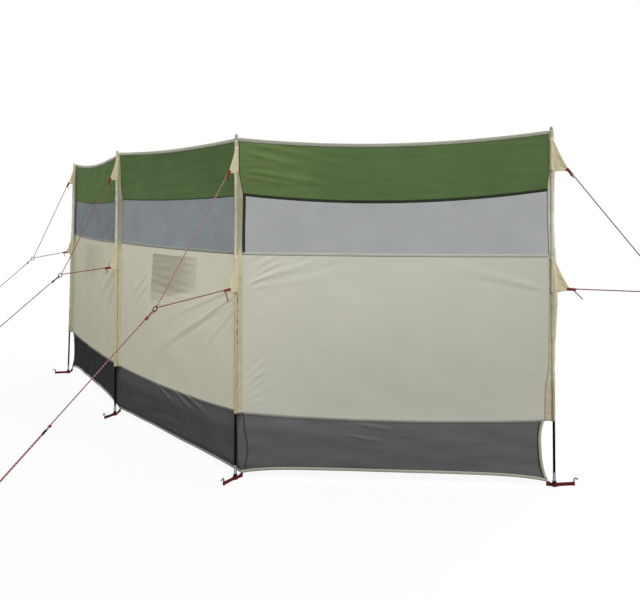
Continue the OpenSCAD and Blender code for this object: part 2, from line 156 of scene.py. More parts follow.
@dataclass(frozen=True)
class Layout:
    """Sizes and places of the row.

    They are those of its solids, but for the sags, the hem's arches and the webs, where the soft cloth hangs
    a few millimetres off them.
    """

    bay_w: float = 1370 * MM
    bay_headings: Floats = (-58, -50, 0)
    guy_headings: Floats = (170, 228, 232, -20)
    web_headings: Floats = (180, 205, 205, -5)
    strap_headings: Floats = (195, 250, 246, 12)
    lean_x_shares: Floats = (0.028, 0.008, 0.002, -0.010)
    lean_y_shares: Floats = (0.009, 0.006, 0.010, -0.009)
    pole_h: float = 1520 * MM
    pole_h_shares: Floats = (1.0, 1.0, 0.9935, 1.0065)
    tip_shows: Floats = (8, 12, 28, 18)
    tape_rises: Floats = (0, 0, 10, 0)
    hem_clear: float = 28 * MM
    hem_shares: Floats = (1.25, 1.3, 0.86, 0.65)
    skirt_top: float = 285 * MM
    skirt_shares: Floats = (1.04, 0.98, 1.0, 0.975)
    wall_top: float = 995 * MM
    wall_shares: Floats = (1.012, 1.0, 0.992, 0.988)
    mesh_top: float = 1245 * MM
    mesh_shares: Floats = (1.006, 0.995, 0.996, 1.01)
    top_tape_h: float = 15 * MM
    hem_tape_h: float = 12 * MM
    top_sag: float = 40 * MM
    top_sag_shares: Floats = (0.92, 0.42, 1.0)
    green_sag_shares: Floats = (0.6, 0.28, 1.05)
    mesh_sag_shares: Floats = (0.2, 0.1, 0.05)
    wall_sag_shares: Floats = (0.15, 0.36, 0.4)
    hem_arch: float = 28 * MM
    hem_arch_shares: Floats = (1.5, 0.25, 0.8)
    hem_power: float = 6
    billow: float = 14 * MM
    skirt_bow: float = 80 * MM
    bow_shares: Floats = (0.88, 0.0, 0.23)
    bow_power: float = 3
    seam_gap: float = 0.8 * MM
    webs: tuple[Stations, ...] = (
        ((30, 28), (296, 28), (960, 26), (1060, 20), (1250, 18), (1400, 14), (1510, 10)),
        ((34, 28), (75, 13), (200, 11), (279, 26), (960, 28), (1060, 31), (1220, 32), (1340, 19), (1508, 15)),
        (
            (26, 28), (75, 13), (200, 11), (285, 29), (960, 28),
            (1060, 27), (1240, 29.5), (1340, 12), (1482, 9.5),
        ),
        (
            (20, 28), (279, 38), (400, 36), (520, 20), (830, 14),
            (985, 14), (1170, 18), (1267, 17), (1345, 10), (1510, 10),
        ),
    )

    def foot(self, i: Pole) -> Array:
        """Returns where a pole stands.

        Args:
            i: The pole.

        Returns:
            The place of its foot.
        """
        if i == Pole.RIGHT_END:
            return self.bay_w * heading(self.bay_headings[Bay.RIGHT])
        if i == Pole.CORNER:
            return np.zeros(3)
        return self.foot(Pole(i + 1)) - self.bay_w * heading(self.bay_headings[i])

    def axis_at(self, i: Pole, z: Array | float) -> Array:
        """Returns points on a pole's leaning axis at heights."""
        z = np.asarray(z, float)[..., None]
        return self.foot(i) + z * np.array([self.lean_x_shares[i], self.lean_y_shares[i], 1.0])

    def web_at(self, i: Pole, z: Array | float) -> Array:
        """Returns the distance from a pole's axis to the seam behind it at heights."""
        return profile(self.webs[i], np.asarray(z, float))

    def seam_at(self, i: Pole, z: Array | float) -> Array:
        """Returns points on the seam behind a pole at heights."""
        back = heading(self.web_headings[i])
        return self.axis_at(i, z) - self.web_at(i, z)[..., None] * back

    def pole_top(self, i: Pole) -> float:
        """Returns the height of a pole's tip."""
        return self.pole_h * self.pole_h_shares[i]

    def sleeve_top(self, i: Pole) -> float:
        """Returns the height of a sleeve's top."""
        return self.pole_top(i) - self.tip_shows[i] * MM

    def level_at(self, i: Pole, level: Level) -> float:
        """Returns a level's height at a pole.

        Args:
            i: The pole.
            level: The level.

        Returns:
            The height.
        """
        hem = self.hem_clear * self.hem_shares[i]
        return {
            Level.HEM: hem,
            Level.HEM_TOP: hem + self.hem_tape_h,
            Level.SKIRT_TOP: self.skirt_top * self.skirt_shares[i],
            Level.WALL_TOP: self.wall_top * self.wall_shares[i],
            Level.MESH_TOP: self.mesh_top * self.mesh_shares[i],
            Level.GREEN_TOP: self.sleeve_top(i) + self.tape_rises[i] * MM - self.top_tape_h,
            Level.TOP: self.sleeve_top(i) + self.tape_rises[i] * MM,
        }[level]

    def sag_at(self, k: Bay, level: Level, u: Array) -> Array:
        """Returns how far a level sags below its straight line.

        Args:
            k: The bay.
            level: The level.
            u: Shares of the way along the bay.

        Returns:
            The sag at each share, negative where it rises.
        """
        if level in (Level.HEM, Level.HEM_TOP):
            return -self.hem_arch * self.hem_arch_shares[k] * (1 - np.abs(2 * u - 1) ** self.hem_power)
        shares = {
            Level.SKIRT_TOP: self.wall_sag_shares,
            Level.WALL_TOP: self.mesh_sag_shares,
            Level.MESH_TOP: self.green_sag_shares,
        }.get(level, self.top_sag_shares)
        return self.top_sag * shares[k] * 4 * u * (1 - u)

    def level_z(self, k: Bay, level: Level, u: Array) -> Array:
        """Returns the heights of a level along a bay."""
        left, right = (self.level_at(Pole(i), level) for i in (k, k + 1))
        return left * (1 - u) + right * u - self.sag_at(k, level, u)

    def bow(self, k: Bay, v: Array) -> Array:
        """Returns how far a bay's skirt bows in at its free end, at shares of its height."""
        return self.skirt_bow * self.bow_shares[k] * (1 - np.abs(2 * v - 1) ** self.bow_power)

    def normal(self, k: Bay) -> Array:
        """Returns a bay's outward normal, to the windward side."""
        return heading(self.bay_headings[k] - 90)

    def cloth_at(self, k: Bay, u: Array, z: Array) -> Array:
        """Returns points of a bay's cloth before its folds.

        Args:
            k: The bay.
            u: Shares of the way along the bay.
            z: Heights.

        Returns:
            Points of the middle of the cloth.
        """
        bow = self.billow * 4 * u * (1 - u) * np.sin(np.pi * z / self.pole_h)
        line = self.seam_at(Pole(k), z) * (1 - u[..., None]) + self.seam_at(Pole(k + 1), z) * u[..., None]
        return line + bow[..., None] * self.normal(k)


ROW = Layout()


@dataclass(frozen=True)
class Fold:
    """A pulled fold of the cloth that runs out from a start and fades.

    Places are metres along the bay from its left pole and height, and sizes are millimetres.
    """

    start: Pair
    end: Pair
    width: float
    height: float

    def lift(self, s: Array, z: Array) -> Array:
        """Returns how far the fold lifts the cloth, in metres.

        Args:
            s: Distances along the bay.
            z: Heights.

        Returns:
            The lift at each place.
        """
        run = np.array(self.end) - np.array(self.start)
        length = np.hypot(*run)
        run = run / length
        t = ((s - self.start[0]) * run[0] + (z - self.start[1]) * run[1]) / length
        across = (z - self.start[1]) * run[0] - (s - self.start[0]) * run[1]
        x = across / (self.width * MM * (0.6 + 0.8 * np.clip(t, 0, 1)))
        along = ease(-0.08, 0.16, t) * (1 - ease(0.45, 1.05, t))
        return self.height * MM * along * (np.exp(-x * x) - 0.55 * np.exp(-((x - 1.7) ** 2)))


@dataclass(frozen=True)
class Ripples:
    """Shallow waves of slack cloth within a window of a bay. Sizes are millimetres.

    With a slant of 1 the crests fall to the right, with -1 they rise, and with 0 they do both.
    """

    seed: int
    height: float
    tall: Pair
    long: Pair
    window: tuple[float, float, float, float] = (0.0, 1370.0, 0.0, 1530.0)
    fade: float = 60
    waves: int = 9
    slant: int = 0

    def lift(self, s: Array, z: Array) -> Array:
        """Returns how far the waves lift the cloth, in metres.

        Args:
            s: Distances along the bay.
            z: Heights.

        Returns:
            The lift at each place.
        """
        draw = np.random.default_rng(self.seed)
        total = np.zeros(np.shape(s))
        for _ in range(self.waves):
            kz = 2 * np.pi / (draw.uniform(*self.tall) * MM)
            ks = 2 * np.pi / (draw.uniform(*self.long) * MM) * (self.slant or draw.choice([-1, 1]))
            drift = draw.uniform(0, 2 * np.pi)
            patch = np.sin(2 * np.pi * (s / draw.uniform(0.4, 0.9) + z / draw.uniform(0.3, 0.7)) + drift)
            total += np.sin(kz * z + ks * s + draw.uniform(0, 2 * np.pi)) * (0.55 + 0.45 * patch)
        s0, s1, z0, z1 = (edge * MM for edge in self.window)
        soft = self.fade * MM
        inside = ease(s0 - soft, s0 + soft, s) * (1 - ease(s1 - soft, s1 + soft, s))
        inside = inside * ease(z0 - soft, z0 + soft, z) * (1 - ease(z1 - soft, z1 + soft, z))
        return self.height * MM * inside * total / math.sqrt(self.waves)


@dataclass(frozen=True)
class Belly:
    """The wind's broad swell of a bay's wall. Sizes are millimetres."""

    low: float = 285
    high: float = 1000
    height: float = 20

    def lift(self, s: Array, z: Array) -> Array:
        """Returns how far the swell lifts the cloth, in metres.

        Args:
            s: Distances along the bay.
            z: Heights.

        Returns:
            The lift at each place.
        """
        rise = np.clip((z - self.low * MM) / ((self.high - self.low) * MM), 0, 1)
        along = np.sin(np.pi * np.clip(s / ROW.bay_w, 0, 1)) ** 0.7
        return self.height * MM * along * np.sin(np.pi * rise) ** 1.3


@dataclass
class Shape:
    """A mesh in the making, with values carried by its points."""

    points: Array
    faces: Faces
    fields: Fields = field(default_factory=dict)

    @staticmethod
    def joined(shapes: Sequence["Shape"]) -> "Shape":
        """Returns several shapes as one.

        Args:
            shapes: Shapes that carry the same fields.

        Returns:
            One shape with all their points and faces.
        """
        faces: Faces = []
        start = 0
        for shape in shapes:
            faces += [tuple(i + start for i in face) for face in shape.faces]
            start += len(shape.points)
        fields = {
            name: np.concatenate([shape.fields[name] for shape in shapes]) for name in shapes[0].fields
        }
        return Shape(np.concatenate([shape.points for shape in shapes]), faces, fields)

    def turned_out(self) -> "Shape":
        """Turns the closed shape's faces outwards.

        Returns:
            The shape itself.
        """
        corners = [self.points[list(face[:3])] for face in self.faces]
        volume = sum(float(np.dot(a, np.cross(b, c))) for a, b, c in corners)
        if volume < 0:
            self.faces = [tuple(reversed(face)) for face in self.faces]
        return self


def quads(rows: int, cols: int) -> Array:
    """Returns the four corners of each face of a grid of points."""
    at = np.arange(rows * cols).reshape(rows, cols)
    return np.stack([at[:-1, :-1], at[:-1, 1:], at[1:, 1:], at[1:, :-1]], -1).reshape(-1, 4)


def shell(grid: Array, thick: Array | float, fields: Fields) -> Shape:
    """Closes a grid of middle points into a thin sheet.

    Args:
        grid: Middle points, rows by columns by three.
        thick: Thickness of the sheet, one value or one for each point.
        fields: Values for each point of the grid.

    Returns:
        The closed sheet.
    """
    rows, cols = grid.shape[:2]
    across = np.gradient(grid, axis=1)
    up = np.gradient(grid, axis=0)
    normals = np.cross(across, up)
    normals /= norm(normals, axis=-1, keepdims=True)
    offset = normals * (np.broadcast_to(thick, (rows, cols))[..., None] / 2)
    count = rows * cols
    points = np.concatenate([(grid + offset).reshape(-1, 3), (grid - offset).reshape(-1, 3)])
    at = np.arange(count).reshape(rows, cols)
    front = quads(rows, cols)
    back = front[:, ::-1] + count
    rim = np.concatenate([at[0, :], at[1:, -1], at[-1, -2::-1], at[-2:0:-1, 0]])
    ahead = np.roll(rim, -1)
    edge = np.stack([rim, rim + count, ahead + count, ahead], -1)
    faces = [tuple(face) for face in np.concatenate([front, back, edge]).tolist()]
    both = {name: np.concatenate([value.reshape(count, -1)] * 2) for name, value in fields.items()}
    return Shape(points, faces, both)


def leaf(grid: Array, fields: Fields) -> Shape:
    """Makes a single sheet of a grid of points.

    Args:
        grid: Points, rows by columns by three.
        fields: Values for each point of the grid.

    Returns:
        The sheet.
    """
    rows, cols = grid.shape[:2]
    faces = [tuple(face) for face in quads(rows, cols).tolist()]
    values = {name: value.reshape(rows * cols, -1) for name, value in fields.items()}
    return Shape(grid.reshape(-1, 3), faces, values)


def smooth_line(stops: Sequence[Array], step: float) -> Array:
    """Threads a smooth line through stops.

    Args:
        stops: Points that the line passes through.
        step: Distance between the line's points.

    Returns:
        The line's points.
    """
    stops = [np.asarray(stop, float) for stop in stops]
    ends = [2 * stops[0] - stops[1], *stops, 2 * stops[-1] - stops[-2]]
    ways = [unit(after - before) for before, after in zip(ends, ends[2:])]
    line = []
    for a, b, way_a, way_b in zip(stops, stops[1:], ways, ways[1:]):
        span = float(norm(b - a))
        count = max(2, int(span / step))
        t = (np.arange(count) / count)[:, None]
        line.append(
            (2 * t**3 - 3 * t**2 + 1) * a
            + (t**3 - 2 * t**2 + t) * span * way_a
            + (3 * t**2 - 2 * t**3) * b
            + (t**3 - t**2) * span * way_b
        )
    return np.concatenate([*line, stops[-1:]])


def ring_faces(rings: int, sides: int, closed: bool = False) -> Faces:
    """Returns the faces of rings of points in a row, with a face on each end unless the row closes.

    Args:
        rings: Number of rings.
        sides: Number of points in a ring.
        closed: Whether the last ring meets the first.

    Returns:
        The faces.
    """
    faces: Faces = []
    for r in range(rings if closed else rings - 1):
        a = r * sides
        b = (r + 1) % rings * sides
        faces += [(a + j, a + (j + 1) % sides, b + (j + 1) % sides, b + j) for j in range(sides)]
    if not closed:
        faces.append(tuple(reversed(range(sides))))
        faces.append(tuple(range((rings - 1) * sides, rings * sides)))
    return faces


def sweep(path: Array, outline: Array, up: Array, closed: bool = False) -> Shape:
    """Sweeps a closed outline along a path.

    Args:
        path: Points of the path.
        outline: Points of the outline, across the path and up.
        up: Direction that the outline's second axis starts in.
        closed: Whether the path meets its own start.

    Returns:
        The closed shape, with the way along it and around it as a field.
    """
    ahead = np.roll(path, -1, 0) - np.roll(path, 1, 0)
    if not closed:
        ahead[0] = path[1] - path[0]
        ahead[-1] = path[-1] - path[-2]
    ahead /= norm(ahead, axis=1, keepdims=True)
    steps = norm(np.diff(path, axis=0), axis=1)
    way = np.concatenate([[0], np.cumsum(steps)])
    sides = len(outline)
    points = []
    fields = []
    for place, direction, run in zip(path, ahead, way):
        up = unit(up - (up @ direction) * direction)
        across = np.cross(direction, up)
        points.append(place + outline[:, :1] * across + outline[:, 1:] * up)
        fields += [(run, j / sides, 0.0) for j in range(sides)]
    faces = ring_faces(len(path), sides, closed)
    return Shape(np.concatenate(points), faces, {ALONG: np.array(fields)}).turned_out()


def circle(x: Array, y: Array, sides: int) -> Array:
    """Returns points around a circle in the plane of two axes."""
    angles = 2 * np.pi * np.arange(sides) / sides
    return np.cos(angles)[:, None] * x + np.sin(angles)[:, None] * y


def round_outline(radius: float, sides: int) -> Array:
    """Returns the outline of a round cord."""
    angles = 2 * np.pi * np.arange(sides) / sides
    return radius * np.stack([np.cos(angles), np.sin(angles)], -1)


def strap_outline(thick: float, width: float) -> Array:
    """Returns the outline of flat webbing with eased edges.

    Args:
        thick: Size across.
        width: Size up.

    Returns:
        Points of the outline.
    """
    x = thick / 2
    y = width / 2
    ease_in = min(x, y) * 0.6
    return np.array([
        (x, -y + ease_in), (x, 0), (x, y - ease_in), (x - ease_in, y),
        (-x + ease_in, y), (-x, y - ease_in), (-x, 0), (-x, -y + ease_in),
        (-x + ease_in, -y), (x - ease_in, -y),
    ])


def lathe(stations: Sequence[Pair], sides: int, base: Array, axis: Array) -> Shape:
    """Turns a profile around an axis.

    Args:
        stations: Radius and height of each turn, from the bottom up, without the closing points.
        sides: Number of sides.
        base: Point that heights count from.
        axis: Direction of the axis.

    Returns:
        The closed shape.
    """
    axis = unit(axis)
    x = unit(np.cross(axis, np.array([0.3, 1.0, 0.1])))
    y = np.cross(axis, x)
    ring = circle(x, y, sides)
    points = np.concatenate([base + h * axis + r * ring for r, h in stations])
    return Shape(points, ring_faces(len(stations), sides)).turned_out()


def linear(code: str) -> tuple[float, float, float, float]:
    """Turns an sRGB hex colour into linear values.

    Args:
        code: The colour, such as #b4b4a8.

    Returns:
        Red, green, blue and alpha.
    """
    values = [int(code[i : i + 2], 16) / 255 for i in (1, 3, 5)]
    red, green, blue = (v / 12.92 if v <= 0.04045 else ((v + 0.055) / 1.055) ** 2.4 for v in values)
    return red, green, blue, 1.0


def add_node(
    tree: NodeTree,
    kind: str,
    settings: dict[str | int, Any] | None = None,
    links: dict[str | int, NodeSocket] | None = None,
    out: str | int = 0,
) -> NodeSocket | None:
    """Adds a node with its settings and links.

    Args:
        tree: The node tree.
        kind: The node's type, without its ShaderNode prefix.
        settings: Values by the name of a property, or by the name or number of an input.
        links: Sockets to link from, by the name or number of an input.
        out: Name or number of the output that is wanted.

    Returns:
        That output's socket, if the node has any.
    """
    node = tree.nodes.new("ShaderNode" + kind)
    for key, value in (settings or {}).items():
        if isinstance(key, str) and key not in node.inputs:
            setattr(node, key, value)
        else:
            node.inputs[key].default_value = value
    for key, socket in (links or {}).items():
        tree.links.new(socket, node.inputs[key])
    return node.outputs[out] if node.outputs else None


BLENDED = {"data_type": "RGBA"}
MULTIPLIED = {"data_type": "RGBA", "blend_type": "MULTIPLY", 0: 1.0}


def band_scale(period: float) -> float:
    """Returns the scale at which a wave texture's bands repeat at a distance in metres."""
    return 2 * math.pi / (20 * period)


@dataclass(frozen=True)
class Finish:
    """Base of the finishes: makes its material once and hands it out."""

    name: str
    colour: str

    def paint(self, tree: NodeTree) -> NodeSocket:
        """Builds the surface's nodes and returns the shader socket."""
        raise NotImplementedError

    def material(self) -> Material:
        """Makes the material at the first call.

        Returns:
            The material.
        """
        found = bpy.data.materials.get(self.name)
        if found is not None:
            return found
        made = bpy.data.materials.new(self.name)
        made.use_nodes = True
        made.node_tree.nodes.clear()
        surface = self.paint(made.node_tree)
        add_node(made.node_tree, "OutputMaterial", links={"Surface": surface})
        return made


@dataclass(frozen=True)
class CoatedPolyester(Finish):
    """Plain-woven polyester with a thin polyurethane coat.

    The real cloth is thin: it lets much of the light through, so the shaded side glows softly. Its faint
    sheen comes from the coat, and slubs and old packing creases give it a quiet unevenness.
    """

    slub: str
    through: float
    roughness: float = 0.62
    gloss: float = 0.1
    glow: str = "#ffffff"
    clear: float = 0.0
    thread: float = 1.6 * MM
    streak: float = 18 * MM
    cloud: float = 200 * MM

    def paint(self, tree: NodeTree) -> NodeSocket:
        """Builds the woven cloth's nodes.

        Args:
            tree: The node tree.

        Returns:
            The shader's socket.
        """
        add = partial(add_node, tree)
        flat = add("Attribute", {"attribute_name": FLAT}, out="Vector")
        drawn = add("Mapping", {"Scale": (0.12, 1.0, 1.0)}, {"Vector": flat})
        streaks = add("TexNoise", {"Scale": 1 / self.streak, "Detail": 4.0}, {"Vector": drawn}, out="Fac")
        cloud = add("TexNoise", {"Scale": 1 / self.cloud, "Detail": 3.0}, {"Vector": flat}, out="Fac")
        uneven = add("Math", {"operation": "ADD"}, {0: streaks, 1: cloud})
        blend = add("MapRange", {"From Min": 0.7, "From Max": 1.3}, {"Value": uneven})
        tone = add("Mix", BLENDED | {6: linear(self.colour), 7: linear(self.slub)}, {0: blend}, out=2)
        shade = add("Attribute", {"attribute_name": SHADE}).node.outputs
        shown = add("Mix", MULTIPLIED, {6: tone, 7: shade["Color"]}, out=2)
        # The real threads lie about 0.3 mm apart; they are drawn coarser so that they show at all.
        lay = {"Scale": band_scale(self.thread)}
        warp = add("TexWave", {"bands_direction": "X"} | lay, {"Vector": flat}, out="Fac")
        weft = add("TexWave", {"bands_direction": "Y"} | lay, {"Vector": flat}, out="Fac")
        weave = add("Math", {"operation": "MULTIPLY"}, {0: warp, 1: weft})
        bump = add("Bump", {"Strength": 0.12, "Distance": 0.3 * MM}, {"Height": weave})
        front = add(
            "BsdfPrincipled",
            {"Roughness": self.roughness, "Specular IOR Level": self.gloss},
            {"Base Color": shown, "Normal": bump},
        )
        if not self.through:
            return front
        lit = add("Mix", MULTIPLIED | {7: linear(self.glow)}, {6: shown}, out=2)
        glow = add("BsdfTranslucent", links={"Color": lit})
        both = add("MixShader", {0: self.through}, {1: front, 2: glow})
        if not self.clear:
            return both
        sheer = {"operation": "MULTIPLY_ADD", 1: self.clear - 1, 2: 1.0}
        holes = add("Math", sheer, {0: shade["Alpha"]})
        gap = add("BsdfTransparent")
        return add("MixShader", links={0: holes, 1: both, 2: gap})


@dataclass(frozen=True)
class WindowMesh(Finish):
    """Fine knitted polyester mesh, dark threads around open cells.

    The eye sees the pale ground behind through the cells, veiled grey by the threads.
    """

    open_share: float
    veil: float = 0.02
    cell: float = 3.5 * MM
    cloud: float = 1000 / 7 * MM

    def paint(self, tree: NodeTree) -> NodeSocket:
        """Builds the mesh's nodes.

        Args:
            tree: The node tree.

        Returns:
            The shader's socket.
        """
        add = partial(add_node, tree)
        flat = add("Attribute", {"attribute_name": FLAT}, out="Vector")
        # The real cells are about 1 mm wide; they are drawn coarser so that they show at all.
        lay = {"Scale": band_scale(self.cell)}
        rows = add("TexWave", {"bands_direction": "X"} | lay, {"Vector": flat}, out="Fac")
        ranks = add("TexWave", {"bands_direction": "Y"} | lay, {"Vector": flat}, out="Fac")
        cells = add("Math", {"operation": "MULTIPLY"}, {0: rows, 1: ranks})
        cloud = add("TexNoise", {"Scale": 1 / self.cloud, "Detail": 3.0}, {"Vector": flat}, out="Fac")
        haze = {"From Min": 0.3, "From Max": 0.7, "To Min": -self.veil, "To Max": self.veil}
        veil = add("MapRange", haze, {"Value": cloud})
        knit = {"To Min": self.open_share - 0.1, "To Max": self.open_share + 0.3}
        holes = add("MapRange", knit, {"Value": cells})
        clear = add("Math", {"operation": "ADD", "use_clamp": True}, {0: holes, 1: veil})
        yarn = {"Base Color": linear(self.colour), "Roughness": 0.7, "Specular IOR Level": 0.2}
        thread = add("BsdfPrincipled", yarn)
        gap = add("BsdfTransparent")
        return add("MixShader", links={0: clear, 1: thread, 2: gap})


@dataclass(frozen=True)
class RibbedTape(Finish):
    """Woven binding or webbing, ribbed across its length, matt and a little fuzzy."""

    worn: str
    rib: float
    source: str = FLAT
    roughness: float = 0.75
    through: float = 0.0
    fuzz: float = 0.15
    wear: float = 1000 / 60 * MM

    def paint(self, tree: NodeTree) -> NodeSocket:
        """Builds the ribbed tape's nodes.

        Args:
            tree: The node tree.

        Returns:
            The shader's socket.
        """
        add = partial(add_node, tree)
        way = add("Attribute", {"attribute_name": self.source}, out="Vector")
        # Ribs of about 1 mm, drawn at the width given so that they show.
        across = {"bands_direction": "X", "Scale": band_scale(self.rib)}
        ribs = add("TexWave", across, {"Vector": way}, out="Fac")
        place = add("TexCoord", out="Object")
        wear = add("TexNoise", {"Scale": 1 / self.wear, "Detail": 4.0}, {"Vector": place}, out="Fac")
        mixed = add("Math", {"operation": "MULTIPLY_ADD", 1: 0.35}, {0: ribs, 2: wear})
        blend = add("MapRange", {"From Min": 0.35, "From Max": 0.95}, {"Value": mixed})
        tone = add("Mix", BLENDED | {6: linear(self.colour), 7: linear(self.worn)}, {0: blend}, out=2)
        bump = add("Bump", {"Strength": 0.35, "Distance": 0.4 * MM}, {"Height": ribs})
        cloth = add(
            "BsdfPrincipled",
            {"Roughness": self.roughness, "Sheen Weight": self.fuzz, "Specular IOR Level": 0.25},
            {"Base Color": tone, "Normal": bump},
        )
        if not self.through:
            return cloth
        glow = add("BsdfTranslucent", links={"Color": tone})
        return add("MixShader", {0: self.through}, {1: cloth, 2: glow})


@dataclass(frozen=True)
class BraidedCord(Finish):
    """Braided polypropylene guy cord with pale tracer flecks that wind around it.

    The third value of the way along the cord says how fresh its flecks are, from 0 to 1.
    """

    fleck: str
    pitch: float = 12 * MM
    braid: float = 2.2 * MM

    def paint(self, tree: NodeTree) -> NodeSocket:
        """Builds the braid's nodes.

        Args:
            tree: The node tree.

        Returns:
            The shader's socket.
        """
        add = partial(add_node, tree)
        way = add("Attribute", {"attribute_name": ALONG}, out="Vector")
        parts = add("SeparateXYZ", links={"Vector": way}).node.outputs
        wound = add("Math", {"operation": "MULTIPLY", 1: 1 / self.pitch}, {0: parts[0]})
        turn = add("Math", {"operation": "FRACT"}, {0: wound})
        tracer = add("MapRange", {"From Min": 0.6, "From Max": 0.66}, {"Value": turn})
        fresh = add("Math", {"operation": "MULTIPLY"}, {0: tracer, 1: parts[2]})
        tone = add("Mix", BLENDED | {6: linear(self.colour), 7: linear(self.fleck)}, {0: fresh}, out=2)
        lay = {"bands_direction": "DIAGONAL", "Scale": band_scale(self.braid)}
        plaits = add("TexWave", lay, {"Vector": way}, out="Fac")
        bump = add("Bump", {"Strength": 0.5, "Distance": 0.3 * MM}, {"Height": plaits})
        soft = {"Roughness": 0.65, "Sheen Weight": 0.1}
        return add("BsdfPrincipled", soft, {"Base Color": tone, "Normal": bump})


@dataclass(frozen=True)
class HardFinish(Finish):
    """A coated rod, moulded plastic or plated steel: an even colour broken by fine grit and rubbed spots."""

    rubbed: str
    roughness: float
    metallic: float = 0.0
    grit: float = 1.5 * MM
    spot: float = 1000 / 45 * MM
    relief: float = 0.08
    gloss: float = 0.5

    def paint(self, tree: NodeTree) -> NodeSocket:
        """Builds the hard surface's nodes.

        Args:
            tree: The node tree.

        Returns:
            The shader's socket.
        """
        add = partial(add_node, tree)
        place = add("TexCoord", out="Object")
        grain = add("TexNoise", {"Scale": 1 / self.grit, "Detail": 3.0}, {"Vector": place}, out="Fac")
        spots = add("TexNoise", {"Scale": 1 / self.spot, "Detail": 5.0}, {"Vector": place}, out="Fac")
        blend = add("MapRange", {"From Min": 0.5, "From Max": 0.75}, {"Value": spots})
        tone = add("Mix", BLENDED | {6: linear(self.colour), 7: linear(self.rubbed)}, {0: blend}, out=2)
        polish = {"To Min": self.roughness - 0.08, "To Max": self.roughness + 0.12}
        rough = add("MapRange", polish, {"Value": spots})
        bump = add("Bump", {"Strength": self.relief, "Distance": 0.2 * MM}, {"Height": grain})
        return add(
            "BsdfPrincipled",
            {"Metallic": self.metallic, "Specular IOR Level": self.gloss},
            {"Base Color": tone, "Roughness": rough, "Normal": bump},
        )


